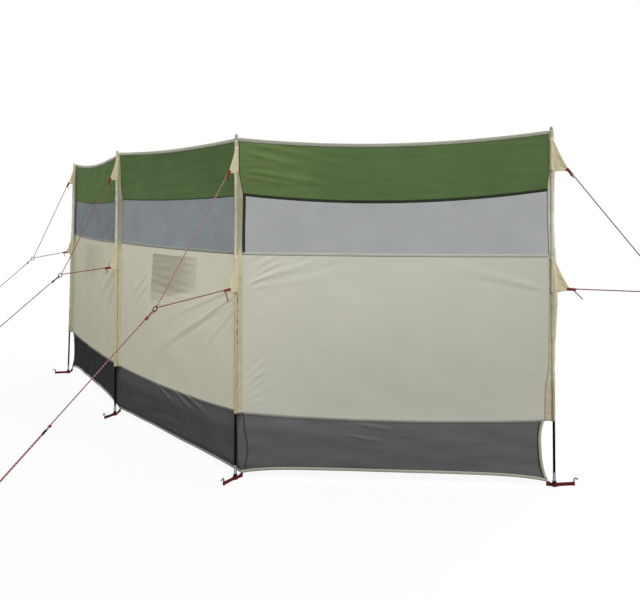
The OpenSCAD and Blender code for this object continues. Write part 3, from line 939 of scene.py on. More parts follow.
@dataclass(frozen=True)
class Finishes:
    """The finishes of the windbreak."""

    # Undyed wall cloth: a grey cream that glows where light comes from behind.
    wall: Finish = CoatedPolyester("wall_polyester", "#b3b3ab", "#afafa7", through=0.52, glow="#fffbea")
    # Green band: the same cloth, dyed, so less light comes through.
    green: Finish = CoatedPolyester("green_polyester", "#536840", "#4b5f3a", through=0.36, streak=14 * MM)
    # Dark edge of the green band: the cloth turned over and sewn, two layers thick; its near-black colour
    # is partly painted shade, for the light that the two layers keep out.
    green_edge: Finish = CoatedPolyester("green_edge_polyester", "#2a3222", "#242b1d", through=0.0)
    # Narrow edge of the green band on the turned bays, where less of the fold shows.
    green_fold: Finish = CoatedPolyester("green_fold_polyester", "#4a5c3a", "#435434", through=0.0)
    # Skirt: heavier coated cloth that lets no light through and has a dull shine.
    skirt: Finish = CoatedPolyester(
        "skirt_polyester", "#626363", "#5a5b5b", through=0.0, roughness=0.75, gloss=0.03
    )
    # Seam between the wall and the skirt: both cloths folded together.
    skirt_seam: Finish = CoatedPolyester("skirt_seam_polyester", "#84847c", "#77776f", through=0.0)
    # Seam between the wall and the mesh: the wall's cloth folded over, greyer than one layer lit from behind.
    wall_seam: Finish = CoatedPolyester("wall_seam_polyester", "#b4b5ac", "#abaca2", through=0.0)
    # Sleeves: a warmer, closer cloth than the wall.
    sleeve: Finish = CoatedPolyester("sleeve_polyester", "#c2bba0", "#b5ad90", through=0.2)
    # Guy tabs: the sleeve's cloth, doubled, coloured lighter than the sleeve as painted light on their shade.
    tab: Finish = CoatedPolyester("tab_polyester", "#e5dcbd", "#dad1b1", through=0.25)
    # Pockets on the sheltered side: a sheer, lighter cloth than the wall's.
    pocket: Finish = CoatedPolyester(
        "pocket_polyester", "#b7b7ad", "#b0b0a6", through=0.6, clear=0.36, glow="#fffbea"
    )
    # Binding tape: pale woven edging.
    tape: Finish = RibbedTape("binding_tape", "#c8cbbd", "#b9bbab", rib=3 * MM)
    # Top binding: the same tape, thin enough that the light from behind shows in it; its lighter colour
    # than the hem's is painted light.
    top_tape: Finish = RibbedTape("top_binding_tape", "#dcdccf", "#d0d0c2", rib=3 * MM, through=0.35)
    # Bindings of the right bay: the same tape in darker colours; the top binding's darker colour is painted
    # shade.
    front_top_shaded: Finish = RibbedTape("front_top_shaded_tape", "#bdbeaf", "#afb1a1", rib=3 * MM, through=0.35)
    front_hem: Finish = RibbedTape("front_hem_tape", "#a9a79b", "#9b998c", rib=3 * MM)
    # Binding of the skirt's ends: the tape in the skirt's own olive grey.
    end_tape: Finish = RibbedTape("end_binding_tape", "#a6a895", "#989a85", rib=3 * MM)
    # Rolled top edge of the tape, coloured greyer than the tape as painted shade along the edge.
    piping: Finish = RibbedTape("edge_piping_shaded", "#bdbbac", "#acaa9b", rib=3 * MM, source=ALONG)
    # Thread of the seams.
    thread: Finish = RibbedTape("sewing_thread", "#bdbcaa", "#adab98", rib=1 * MM, source=ALONG)
    # Dark seam tape inside the skirt's arcs.
    seam_tape: Finish = RibbedTape("seam_tape", "#36372b", "#2d2e23", rib=3 * MM, source=ALONG)
    # Webbing of the loops and straps: dark red polyester, ribbed.
    webbing: Finish = RibbedTape(
        "red_webbing", "#7d0912", "#5a060c", rib=2.5 * MM, source=ALONG, roughness=0.7, fuzz=0.0
    )
    # Webbing at the feet: the same webbing in a darker red.
    foot_webbing: Finish = RibbedTape(
        "foot_webbing", "#66060e", "#380307", rib=2.5 * MM, source=ALONG, roughness=0.8, fuzz=0.0
    )
    # Guy cord: red braid with pale flecks.
    cord: Finish = BraidedCord("guy_cord", "#6a1015", "#c9aea8")
    # Poles: black powder-coated steel tube.
    rod: Finish = HardFinish("coated_steel_rod", "#050506", "#0a0b0c", roughness=0.65, gloss=0.04)
    # Pole caps: grey moulded nylon.
    cap: Finish = HardFinish("moulded_nylon_grey", "#979798", "#a4a4a5", roughness=0.5, relief=0.15)
    # Ferrules: zinc-plated steel.
    steel: Finish = HardFinish("zinc_plated_steel", "#8a8d8e", "#6f7273", roughness=0.35, metallic=1.0)
    # Pegs: steel wire painted black.
    dark_steel: Finish = HardFinish("painted_steel_black", "#08080a", "#101112", roughness=0.6, gloss=0.05)
    # Cups, rings and runners: black moulded nylon.
    plastic: Finish = HardFinish(
        "moulded_nylon_black", "#08090a", "#0f1011", roughness=0.6, relief=0.15, gloss=0.08
    )


FINISHES = Finishes()


def make_piece(
    name: str, shape: Shape, finish: Finish, replaces: Sequence[str] = ()
) -> Object:
    """Makes a piece of the object from a shape and lets it ride on the frame.

    Args:
        name: The piece's name.
        shape: Its mesh.
        finish: Its finish.
        replaces: Solids that the piece stands for.

    Returns:
        The new object.
    """
    mesh = bpy.data.meshes.new(name)
    mesh.from_pydata(shape.points.tolist(), [], shape.faces)
    mesh.shade_smooth()
    for key, values in shape.fields.items():
        kind = "FLOAT_COLOR" if key == SHADE else "FLOAT_VECTOR"
        made = mesh.attributes.new(key, kind, "POINT")
        made.data.foreach_set("color" if key == SHADE else "vector", values.astype(np.float32).ravel())
    mesh.update()
    piece = bpy.data.objects.new(name, mesh)
    bpy.context.scene.collection.objects.link(piece)
    piece.data.materials.append(finish.material())
    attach(piece, BODY)
    if replaces:
        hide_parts(*replaces)
    LOG.info("%s: %d points, %d faces", name, len(shape.points), len(shape.faces))
    return piece


def sharpen(piece: Object, degrees: float = 40) -> None:
    """Keeps edges that turn by more than an angle crisp."""
    piece.data.set_sharp_from_angle(angle=math.radians(degrees))


def dress_node(node: str, finish: Finish) -> None:
    """Gives a solid that stays in view its finish.

    Args:
        node: The solid's name.
        finish: Its finish.
    """
    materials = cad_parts[node].data.materials
    materials.clear()
    materials.append(finish.material())
    LOG.info("%s: kept as a solid", node)


def white_shade(shape: tuple[int, ...]) -> Array:
    """Returns a shade field for a grid of points that leaves the cloth's colour as it is."""
    return np.ones((*shape, 4))


@dataclass(frozen=True)
class Wash:
    """How the light on a band of cloth changes across it, as factors on its colour.

    The gains are the change over the band's height and over its length. The near tint is a patch at the
    band's left end that fades out along it.
    """

    tint: Triple
    up: float = 0.0
    along: float = 0.0
    near: Triple = (1.0, 1.0, 1.0)
    reach: Pair = (100 * MM, 450 * MM)

    def factor(self, u: Array, v: Array) -> Array:
        """Returns factors on the band's colour.

        Args:
            u: Shares of its length.
            v: Shares of its height.

        Returns:
            Factors on red, green and blue.
        """
        slope = (1 + self.up * (v - 0.5)) * (1 + self.along * (u - 0.5))
        left = 1 - ease(*self.reach, u * ROW.bay_w)
        return slope[..., None] * np.array(self.tint) * (1 + left[..., None] * (np.array(self.near) - 1))


WASHES: dict[tuple[Bay, Level], Wash] = {
    (Bay.LEFT, Level.HEM_TOP): Wash((0.24, 0.26, 0.275), -0.2, 0.6),
    (Bay.LEFT, Level.SKIRT_TOP): Wash((0.95, 0.945, 0.907), 0.15, 0.115),
    (Bay.LEFT, Level.MESH_TOP): Wash((1.06, 1.08, 0.87)),
    (Bay.MIDDLE, Level.HEM_TOP): Wash((0.96, 0.97, 0.96), 0.0, 0.3),
    (Bay.MIDDLE, Level.SKIRT_TOP): Wash((1.095, 1.095, 1.1), 0.17, 0.13),
    (Bay.MIDDLE, Level.MESH_TOP): Wash((1.08, 1.09, 1.08), -0.17, -0.03),
    (Bay.RIGHT, Level.HEM_TOP): Wash((0.95, 0.94, 0.93), 0.12, 0.08),
    (Bay.RIGHT, Level.SKIRT_TOP): Wash((1.02, 1.025, 1.075), 0.15, -0.1),
    (Bay.RIGHT, Level.MESH_TOP): Wash((1.09, 1.09, 1.08), 0.06, -0.1, (1.28, 1.17, 1.1)),
}


@dataclass(frozen=True)
class Relief:
    """Everything that lifts a bay's cloth out of its plane."""

    parts: tuple[Fold | Ripples | Belly, ...]
    edge: float = 45 * MM

    def lift(self, s: Array, z: Array) -> Array:
        """Returns the lift at distances along a bay and heights, nothing at the seams."""
        total = sum((part.lift(s, z) for part in self.parts), np.zeros(np.shape(s)))
        return total * ease(0, self.edge, s) * (1 - ease(ROW.bay_w - self.edge, ROW.bay_w, s))


RELIEFS: dict[Bay, Relief] = {
    Bay.LEFT: Relief((
        Belly(),
        Fold((1.34, 0.88), (0.92, 0.64), 28, 10.0),
        Fold((1.25, 0.92), (0.84, 0.70), 24, 9.0),
        Fold((1.33, 0.82), (1.05, 0.56), 26, 8.0),
        Fold((0.80, 0.90), (0.60, 0.64), 24, 6.0),
        Fold((0.66, 0.93), (0.48, 0.70), 22, 5.0),
        Fold((0.06, 0.90), (0.50, 0.60), 28, 5.0),
        Ripples(11, 2.2, (160, 420), (240, 600)),
        Ripples(12, 3.5, (140, 320), (180, 360), (100, 1270, 1010, 1250)),
        Ripples(13, 1.4, (40, 90), (500, 1400), (0, 1370, 1240, 1530)),
    )),
    Bay.MIDDLE: Relief((
        Belly(),
        Fold((1.35, 0.84), (0.58, 0.60), 12, 3.4),
        Fold((1.35, 0.82), (0.84, 0.56), 11, 3.8),
        Fold((1.34, 0.80), (0.62, 0.49), 12, 3.6),
        Fold((1.34, 0.78), (0.36, 0.38), 14, 3.8),
        Fold((1.35, 0.76), (0.92, 0.43), 12, 3.2),
        Fold((1.35, 0.73), (1.06, 0.38), 14, 2.2),
        Fold((0.42, 0.85), (0.16, 0.68), 14, 4.5),
        Fold((0.44, 0.79), (0.20, 0.65), 13, 4.0),
        Fold((0.54, 0.262), (0.76, 0.205), 7, 5.5),
        Fold((0.72, 0.268), (0.96, 0.208), 7, 5.5),
        Fold((0.84, 0.272), (1.10, 0.222), 7, 5.0),
        Fold((0.90, 0.45), (0.58, 0.42), 12, 1.0),
        Ripples(21, 2.0, (180, 460), (260, 700)),
        Ripples(22, 1.5, (26, 48), (260, 800), (480, 960, 735, 935), 25),
        Ripples(23, 1.2, (40, 90), (500, 1400), (0, 1370, 1240, 1530)),
        Ripples(24, 1.2, (40, 90), (400, 1200), (200, 900, 60, 200), 40),
    )),
    Bay.RIGHT: Relief((
        Belly(),
        Fold((0.03, 0.86), (0.48, 0.99), 13, 2.4),
        Fold((0.03, 0.85), (0.34, 0.99), 11, 2.4),
        Fold((0.03, 0.87), (0.25, 0.99), 10, 2.2),
        Fold((0.03, 0.83), (0.60, 0.93), 16, 1.6),
        Fold((0.02, 0.44), (0.13, 0.54), 10, 2.4),
        Fold((0.02, 0.41), (0.12, 0.49), 10, 2.2),
        Fold((0.03, 1.43), (0.34, 1.35), 12, 2.6),
        Fold((0.03, 1.47), (0.38, 1.40), 12, 2.4),
        Fold((0.03, 1.35), (0.46, 1.27), 13, 3.0),
        Fold((0.03, 1.32), (0.32, 1.275), 10, 2.6),
        Fold((1.34, 0.84), (0.90, 0.95), 18, 3.0),
        Fold((0.50, 0.20), (0.68, 0.172), 8, 2.5),
        Fold((0.54, 0.25), (0.72, 0.225), 8, 2.5),
        Ripples(31, 0.9, (200, 520), (300, 800)),
        Ripples(32, 0.6, (35, 80), (500, 1500), (0, 1370, 1240, 1530)),
        Ripples(33, 1.2, (60, 140), (500, 1500), (0, 1370, 20, 270)),
        Ripples(34, 2.2, (36, 60), (70, 120), (40, 460, 925, 985), 40, slant=-1),
        Ripples(35, 0.6, (26, 44), (60, 120), (40, 110, 320, 900), 30, slant=-1),
        Ripples(36, 0.9, (40, 70), (200, 420), (40, 480, 1270, 1460), 40, slant=1),
    )),
}


@dataclass
class ClothBay:
    """One bay of cloth: its bands, bindings and seams."""

    bay: Bay
    mesh: WindowMesh
    edge: Finish
    edge_h: float
    top_tape: Finish
    hem_tape: Finish
    edge_fall: float = 2 * MM
    wall_edge: Pair = (8 * MM, 4 * MM)
    skirt_edge: Pair = (6 * MM, 5 * MM)
    strip_ends: Pair = (0.001, 0.999)
    strip_t: float = 2.2 * MM
    tape_t: float = 3 * MM
    piping_r: float = 1.6 * MM
    step: float = 6 * MM
    end_tape_w: float = 12 * MM
    stitch_rows: tuple[tuple[Level, float], ...] = (
        (Level.GREEN_TOP, 3 * MM), (Level.WALL_TOP, -3 * MM),
        (Level.SKIRT_TOP, 1 * MM), (Level.HEM_TOP, -4 * MM),
    )
    stitch_len: float = 3.5 * MM
    stitch_pitch: float = 7 * MM
    thread_d: float = 0.9 * MM
    lap: float = 1.5 * MM
    crease_gain: float = 0.32
    crease_reach: float = 3 * MM

    def surface(self, u: Array, z: Array) -> Array:
        """Returns points of the middle of the folded cloth."""
        lift = RELIEFS[self.bay].lift(u * ROW.bay_w, z)
        return ROW.cloth_at(self.bay, u, z) + lift[..., None] * ROW.normal(self.bay)

    def sheet(
        self, u: Array, z: Array, thick: Array | float, wash: Array | float = 1.0
    ) -> Shape:
        """Returns a sheet over a grid of places.

        Args:
            u: Shares of the way along the bay, rows by columns.
            z: Heights, rows by columns.
            thick: Thickness of the sheet, or 0 for a single layer of cloth.
            wash: Factors on the cloth's colour.

        Returns:
            The sheet, with its flat coordinates and shade.
        """
        flat = np.stack([u * ROW.bay_w, z, np.zeros_like(u)], -1)
        shade = white_shade(u.shape)
        shade[..., :3] *= wash
        fields = {FLAT: flat, SHADE: shade}
        return shell(self.surface(u, z), thick, fields) if thick else leaf(self.surface(u, z), fields)

    def ends(self, low: Level, v: Array) -> tuple[Array, Array]:
        """Returns where the rows of a band start and end, as shares of the bay.

        Args:
            low: Level of the band's bottom. The skirt's free end bows in.
            v: Shares of the band's height.

        Returns:
            The start and the end of each row.
        """
        gap = -self.lap / ROW.bay_w
        bow = (ROW.bow(self.bay, v) + self.end_tape_w) / ROW.bay_w if low == Level.HEM_TOP else 0 * v
        left = gap + (bow if self.bay == Bay.LEFT else 0 * v)
        right = 1 - gap - (bow if self.bay == Bay.RIGHT else 0 * v)
        return left, right

    def heights(self, low: Level, u: Array, v: Array | float) -> Array:
        """Returns heights at shares of the way from a level up to the next."""
        return ROW.level_z(self.bay, low, u) * (1 - v) + ROW.level_z(self.bay, Level(low + 1), u) * v

    def band(self, low: Level, thick: float) -> Shape:
        """Returns a band of cloth from a level up to the next.

        Args:
            low: Level of its bottom.
            thick: Its thickness, or 0 for a single layer of cloth.

        Returns:
            The band.
        """
        middle = np.array([0.5])
        tall = float((self.heights(low, middle, 1) - self.heights(low, middle, 0))[0])
        rows = max(3, round(tall / self.step))
        cols = round(ROW.bay_w / self.step)
        v = np.linspace(0, 1, rows + 1)[:, None]
        start, end = self.ends(low, v)
        u = start + (end - start) * np.linspace(0, 1, cols + 1)[None, :]
        z = self.heights(low, u, v)
        wash = WASHES.get((self.bay, low))
        if wash is None:
            return self.sheet(u, z, thick)
        return self.sheet(u, z, thick, wash.factor(u, v) * self.crease_light(u, z)[..., None])

    def crease_light(self, u: Array, z: Array) -> Array:
        """Returns how much lighter creases are on their upper side, where the sky's light gathers.

        Args:
            u: Shares of the way along the bay.
            z: Heights.

        Returns:
            Factors on the cloth's colour.
        """
        lift = RELIEFS[self.bay].lift
        s = u * ROW.bay_w
        slope = (lift(s, z + self.crease_reach) - lift(s, z - self.crease_reach)) / (2 * self.crease_reach)
        return 1 - self.crease_gain * np.clip(slope, -0.5, 0.5)

    def strip(self, level: Level, below: float, above: float) -> Shape:
        """Returns a narrow strip along a level.

        Args:
            level: The level.
            below: Its reach below the level.
            above: Its reach above it.

        Returns:
            The strip.
        """
        cols = round(ROW.bay_w / self.step)
        u = np.broadcast_to(np.linspace(*self.strip_ends, cols + 1), (4, cols + 1))
        offset = np.linspace(-below, above, 4)[:, None]
        return self.sheet(u, ROW.level_z(self.bay, level, u) + offset, self.strip_t)

    def upright(
        self, s: Callable[[Array], Array], wide: float, low: Level, thick: float
    ) -> Shape:
        """Returns a narrow upright strip from a level up to the next.

        Args:
            s: Distance along the bay of the strip's left edge at shares of its height.
            wide: Width of the strip.
            low: Level of its bottom.
            thick: Thickness of the strip.

        Returns:
            The strip.
        """
        v = np.linspace(0, 1, 33)[:, None]
        u = (s(v) + wide * np.linspace(0, 1, 4)[None, :]) / ROW.bay_w
        return self.sheet(u, self.heights(low, u, v), thick)

    def stitches(self) -> Shape:
        """Sews the seams on both sides of the cloth.

        Returns:
            The thread.
        """
        count = int(ROW.bay_w / self.stitch_pitch)
        starts = (np.arange(count) + 0.3) * self.stitch_pitch
        made = []
        for level, offset in self.stitch_rows:
            for side in (1, -1):
                lift = side * self.strip_t / 2 * ROW.normal(self.bay)
                for s in starts[2:-2]:
                    u = np.array([s, s + self.stitch_len]) / ROW.bay_w
                    ends = self.surface(u, ROW.level_z(self.bay, level, u) + offset) + lift
                    made.append(sweep(ends, round_outline(self.thread_d / 2, 4), UP))
        return Shape.joined(made)

    def build(self) -> dict[str, Object]:
        """Builds the bay's pieces.

        Returns:
            The pieces by the name of their kind.
        """
        tag = self.bay.tag
        made = {}
        bands = (
            ("top_tape", "binding", Level.GREEN_TOP, self.tape_t, self.top_tape, Slot.TAPE),
            ("green_band", "cloth", Level.MESH_TOP, 0.0, FINISHES.green, Slot.GREEN),
            ("mesh_window", "cloth", Level.WALL_TOP, 0.0, self.mesh, Slot.MESH),
            ("wall", "cloth", Level.SKIRT_TOP, 0.0, FINISHES.wall, Slot.PALE),
            ("skirt", "cloth", Level.HEM_TOP, 0.0, FINISHES.skirt, Slot.DARK),
            ("hem_tape", "binding", Level.HEM, self.tape_t, self.hem_tape, Slot.TAPE),
        )
        for kind, what, low, thick, finish, slot in bands:
            node = f"{kind}_{tag}"
            made[kind] = make_piece(f"{node}_{what}", self.band(low, thick), finish, [node])
        strips = (
            ("green_edge", Level.MESH_TOP, (self.edge_fall, self.edge_h), self.edge, Slot.GREEN),
            ("wall_edge", Level.WALL_TOP, self.wall_edge, FINISHES.wall_seam, Slot.PALE),
            ("skirt_seam", Level.SKIRT_TOP, self.skirt_edge, FINISHES.skirt_seam, Slot.DARK),
        )
        for kind, level, reach, finish, slot in strips:
            made[kind] = make_piece(f"{kind}_{tag}", self.strip(level, *reach), finish)
        made["stitches"] = make_piece(f"seam_stitches_{tag}", self.stitches(), FINISHES.thread)
        u = np.linspace(0.002, 0.998, 140)
        edge = self.surface(u, ROW.level_z(self.bay, Level.TOP, u))
        rolled = sweep(edge, round_outline(self.piping_r, 8), UP)
        made["piping"] = make_piece(f"top_piping_{tag}", rolled, FINISHES.piping)
        self.declare()
        return made

    def declare(self) -> None:
        poles = [f"sleeve_{Pole(i).tag}_cloth" for i in (self.bay, self.bay + 1)]
        bands = {
            "green_band": (Level.MESH_TOP, ("top_tape", "piping", "green_edge")),
            "mesh_window": (Level.WALL_TOP, ("wall_edge",)),
            "wall": (Level.SKIRT_TOP, ("stitches",)),
            "skirt": (Level.HEM_TOP, ("skirt_seam", "hem_tape")),
        }
        u = np.linspace(0, 1, 41)
        for kind, (low, trims) in bands.items():
            tall = self.heights(low, u, 1) - self.heights(low, u, 0)
            line = ROW.cloth_at(self.bay, u, self.heights(low, u, 0.5))
            wide = float(norm(np.diff(line, axis=0), axis=1).sum())


@dataclass(frozen=True)
class SleeveLook:
    """How a sleeve's cloth is shaded up the pole, as factors on its colour.

    Tones are a height in millimetres, the tube's tint and the flap's tint, from the bottom up. The line is
    heights in millimetres with the darkness of the shadow line at the stitched neck, or at the seam. Up to
    a height the cloth puckers and the line breaks into dashes. The side of the tube away from the seam may
    be lighter. Pulls are heights with how far the guy draws the tube out, in millimetres.
    """

    tones: tuple[tuple[float, Triple, Triple], ...]
    line: Stations
    dashed_to: float = 0.0
    at_seam: bool = False
    line_at: float = 1 * MM
    far_gain: float = 0.0
    pulls: Stations = (
        (280, 0), (600, 0), (820, 3), (975, 3), (1120, 1), (1330, 3), (1480, 2),
    )

    def tints(self, z: float) -> tuple[Array, Array]:
        """Returns the cloth's tints at a height.

        Args:
            z: The height.

        Returns:
            The tube's tint and the flap's.
        """
        heights = [tone[0] * MM for tone in self.tones]
        tints = np.array([tone[1:] for tone in self.tones])
        blend = [[np.interp(z, heights, tints[:, part, band]) for band in range(3)] for part in range(2)]
        return np.array(blend[0]), np.array(blend[1])

    def darkness(self, z: float) -> float:
        """Returns how dark the line is at a height."""
        return float(np.interp(z, [stop[0] * MM for stop in self.line], [stop[1] for stop in self.line]))


@dataclass
class Sleeve:
    """The cloth sleeve of a pole: a tube sewn close behind the rod and a flap back to the seam."""

    pole: Pole
    look: SleeveLook
    tube_r: float = 7.6 * MM
    flap_t: float = 1.6 * MM
    wall_t: float = 0.8 * MM
    step: float = 6 * MM
    arc_sides: int = 26
    flap_sides: int = 8
    neck: float = 6 * MM
    pucker_h: float = 1 * MM
    round_step: float = 2.2 * MM

    def outline(self, reach: float, tube_r: float, pull: float, sway: Array) -> Array:
        """Returns the sleeve's outline across the pole.

        Args:
            reach: Distance of the seam behind the axis.
            tube_r: Radius of the tube.
            pull: How far the guy pulls the tube out.
            sway: How far the flap's points stand aside, from the tube to the seam.

        Returns:
            Points as distance towards the seam and aside.
        """
        half = self.flap_t / 2
        neck = math.asin(half / tube_r)
        arc = np.linspace(neck, 2 * np.pi - neck, self.arc_sides)
        guy = math.radians(ROW.guy_headings[self.pole] - ROW.web_headings[self.pole] - 180)
        drawn = tube_r + pull * np.clip(np.cos(arc - guy), 0, 1) ** 2
        tube = drawn[:, None] * np.stack([np.cos(arc), np.sin(arc)], -1)
        way = np.linspace(tube_r, max(reach, tube_r + 2 * MM), self.flap_sides + 1)[1:]
        left = np.stack([way, sway + half], -1)
        right = np.stack([way, sway - half], -1)
        return np.concatenate([left[::-1], tube, right])

    def tint(self, x: Array, reach: float, z: float, wave: Array) -> Array:
        """Returns the cloth's shade across the sleeve at a height.

        Args:
            x: Distances towards the seam.
            reach: Distance of the seam behind the axis.
            z: The height.
            wave: Waves that the cloth's puckers follow here.

        Returns:
            Colour factors with alpha.
        """
        look = self.look
        tube, flap = look.tints(z)
        tube = tube * (1 + look.far_gain * ease(0, -self.tube_r, x)[:, None])
        middle = reach - 3 * MM if look.at_seam else self.tube_r + look.line_at * (1 + wave[4])
        dashed = z < look.dashed_to * MM
        broken = float(ease(-0.35, 0.35, wave[2] + 0.8 * wave[4] + 0.5 * wave[5])) if dashed else 1.0
        line = look.darkness(z) * broken * np.exp(-(((x - middle) / (0.45 * self.neck)) ** 2))
        on_flap = ease(self.tube_r, self.tube_r + 0.5 * self.neck, x)[:, None]
        colour = (tube * (1 - on_flap) + flap * on_flap) * (1 - line[:, None])
        return np.concatenate([colour, np.ones((len(x), 1))], 1)

    def build(self) -> Object:
        """Builds the sleeve.

        Returns:
            Its piece.
        """
        tag = self.pole.tag
        low = ROW.level_at(self.pole, Level.SKIRT_TOP)
        high = ROW.sleeve_top(self.pole)
        heights = np.linspace(low, high, round((high - low) / self.step) + 1)
        draw = np.random.default_rng(400 + self.pole)
        back = -heading(ROW.web_headings[self.pole])
        aside = np.cross(UP, back)
        phases = draw.uniform(0, 2 * np.pi, 6)
        share = np.linspace(0, 1, self.flap_sides)
        reaches = ROW.web_at(self.pole, heights) + 0.5 * MM
        pulls = profile(self.look.pulls, heights)
        outer = []
        inner = []
        shades = []
        flats = []
        for z, reach, pull in zip(heights, reaches, pulls):
            wave = np.sin(z * np.array([58.0, 91.0, 137.0, 223.0, 33.0, 17.0]) + phases)
            tube_r = self.tube_r * (1 + 0.06 * wave[0] + 0.05 * wave[1] + 0.04 * wave[2])
            pucker = (wave[1] + 0.7 * wave[3]) * np.sin(np.pi * share)
            pucker += 0.6 * wave[2] * np.sin(2 * np.pi * share)
            ring = self.outline(reach, tube_r, pull, self.pucker_h * pucker)
            on_flap = ring[:, 0] > tube_r
            closer = ring * (1 - self.wall_t / self.tube_r)
            closer[:, 0] = np.where(on_flap, ring[:, 0] - self.wall_t, closer[:, 0])
            closer[:, 1] = np.where(on_flap, ring[:, 1] * 0.4, closer[:, 1])
            axis = ROW.axis_at(self.pole, z)
            outer.append(axis + ring[:, :1] * back + ring[:, 1:] * aside)
            inner.append(axis + closer[:, :1] * back + closer[:, 1:] * aside)
            shades.append(self.tint(ring[:, 0], reach, z, wave))
            around = np.arange(len(ring)) * self.round_step
            flats.append(np.stack([around, np.full(len(ring), z), 0 * around], -1))
        shape = self.tube(np.array(outer), np.array(inner))
        shape.fields = {
            FLAT: np.concatenate([np.concatenate(flats)] * 2),
            SHADE: np.concatenate([np.concatenate(shades)] * 2),
        }
        piece = make_piece(f"sleeve_{tag}_cloth", shape, FINISHES.sleeve, [f"sleeve_{tag}"])
        wide = float(norm(np.diff(np.array(outer), axis=1), axis=2).sum(1).mean())
        return piece

    @staticmethod
    def tube(outer: Array, inner: Array) -> Shape:
        """Closes two nested tubes of rings into one cloth tube.

        Args:
            outer: Rings of the outer side, rows by points by three.
            inner: Rings of the inner side.

        Returns:
            The closed tube.
        """
        rows, sides = outer.shape[:2]
        count = rows * sides
        at = np.arange(count).reshape(rows, sides)
        ahead = np.roll(at, -1, 1)
        skin = np.stack([at[:-1], ahead[:-1], ahead[1:], at[1:]], -1).reshape(-1, 4)
        lining = skin[:, ::-1] + count
        ends = [np.stack([ahead[0], at[0], at[0] + count, ahead[0] + count], -1),
                np.stack([at[-1], ahead[-1], ahead[-1] + count, at[-1] + count], -1)]
        faces = [tuple(face) for face in np.concatenate([skin, lining, *ends]).tolist()]
        points = np.concatenate([outer.reshape(-1, 3), inner.reshape(-1, 3)])
        return Shape(points, faces).turned_out()


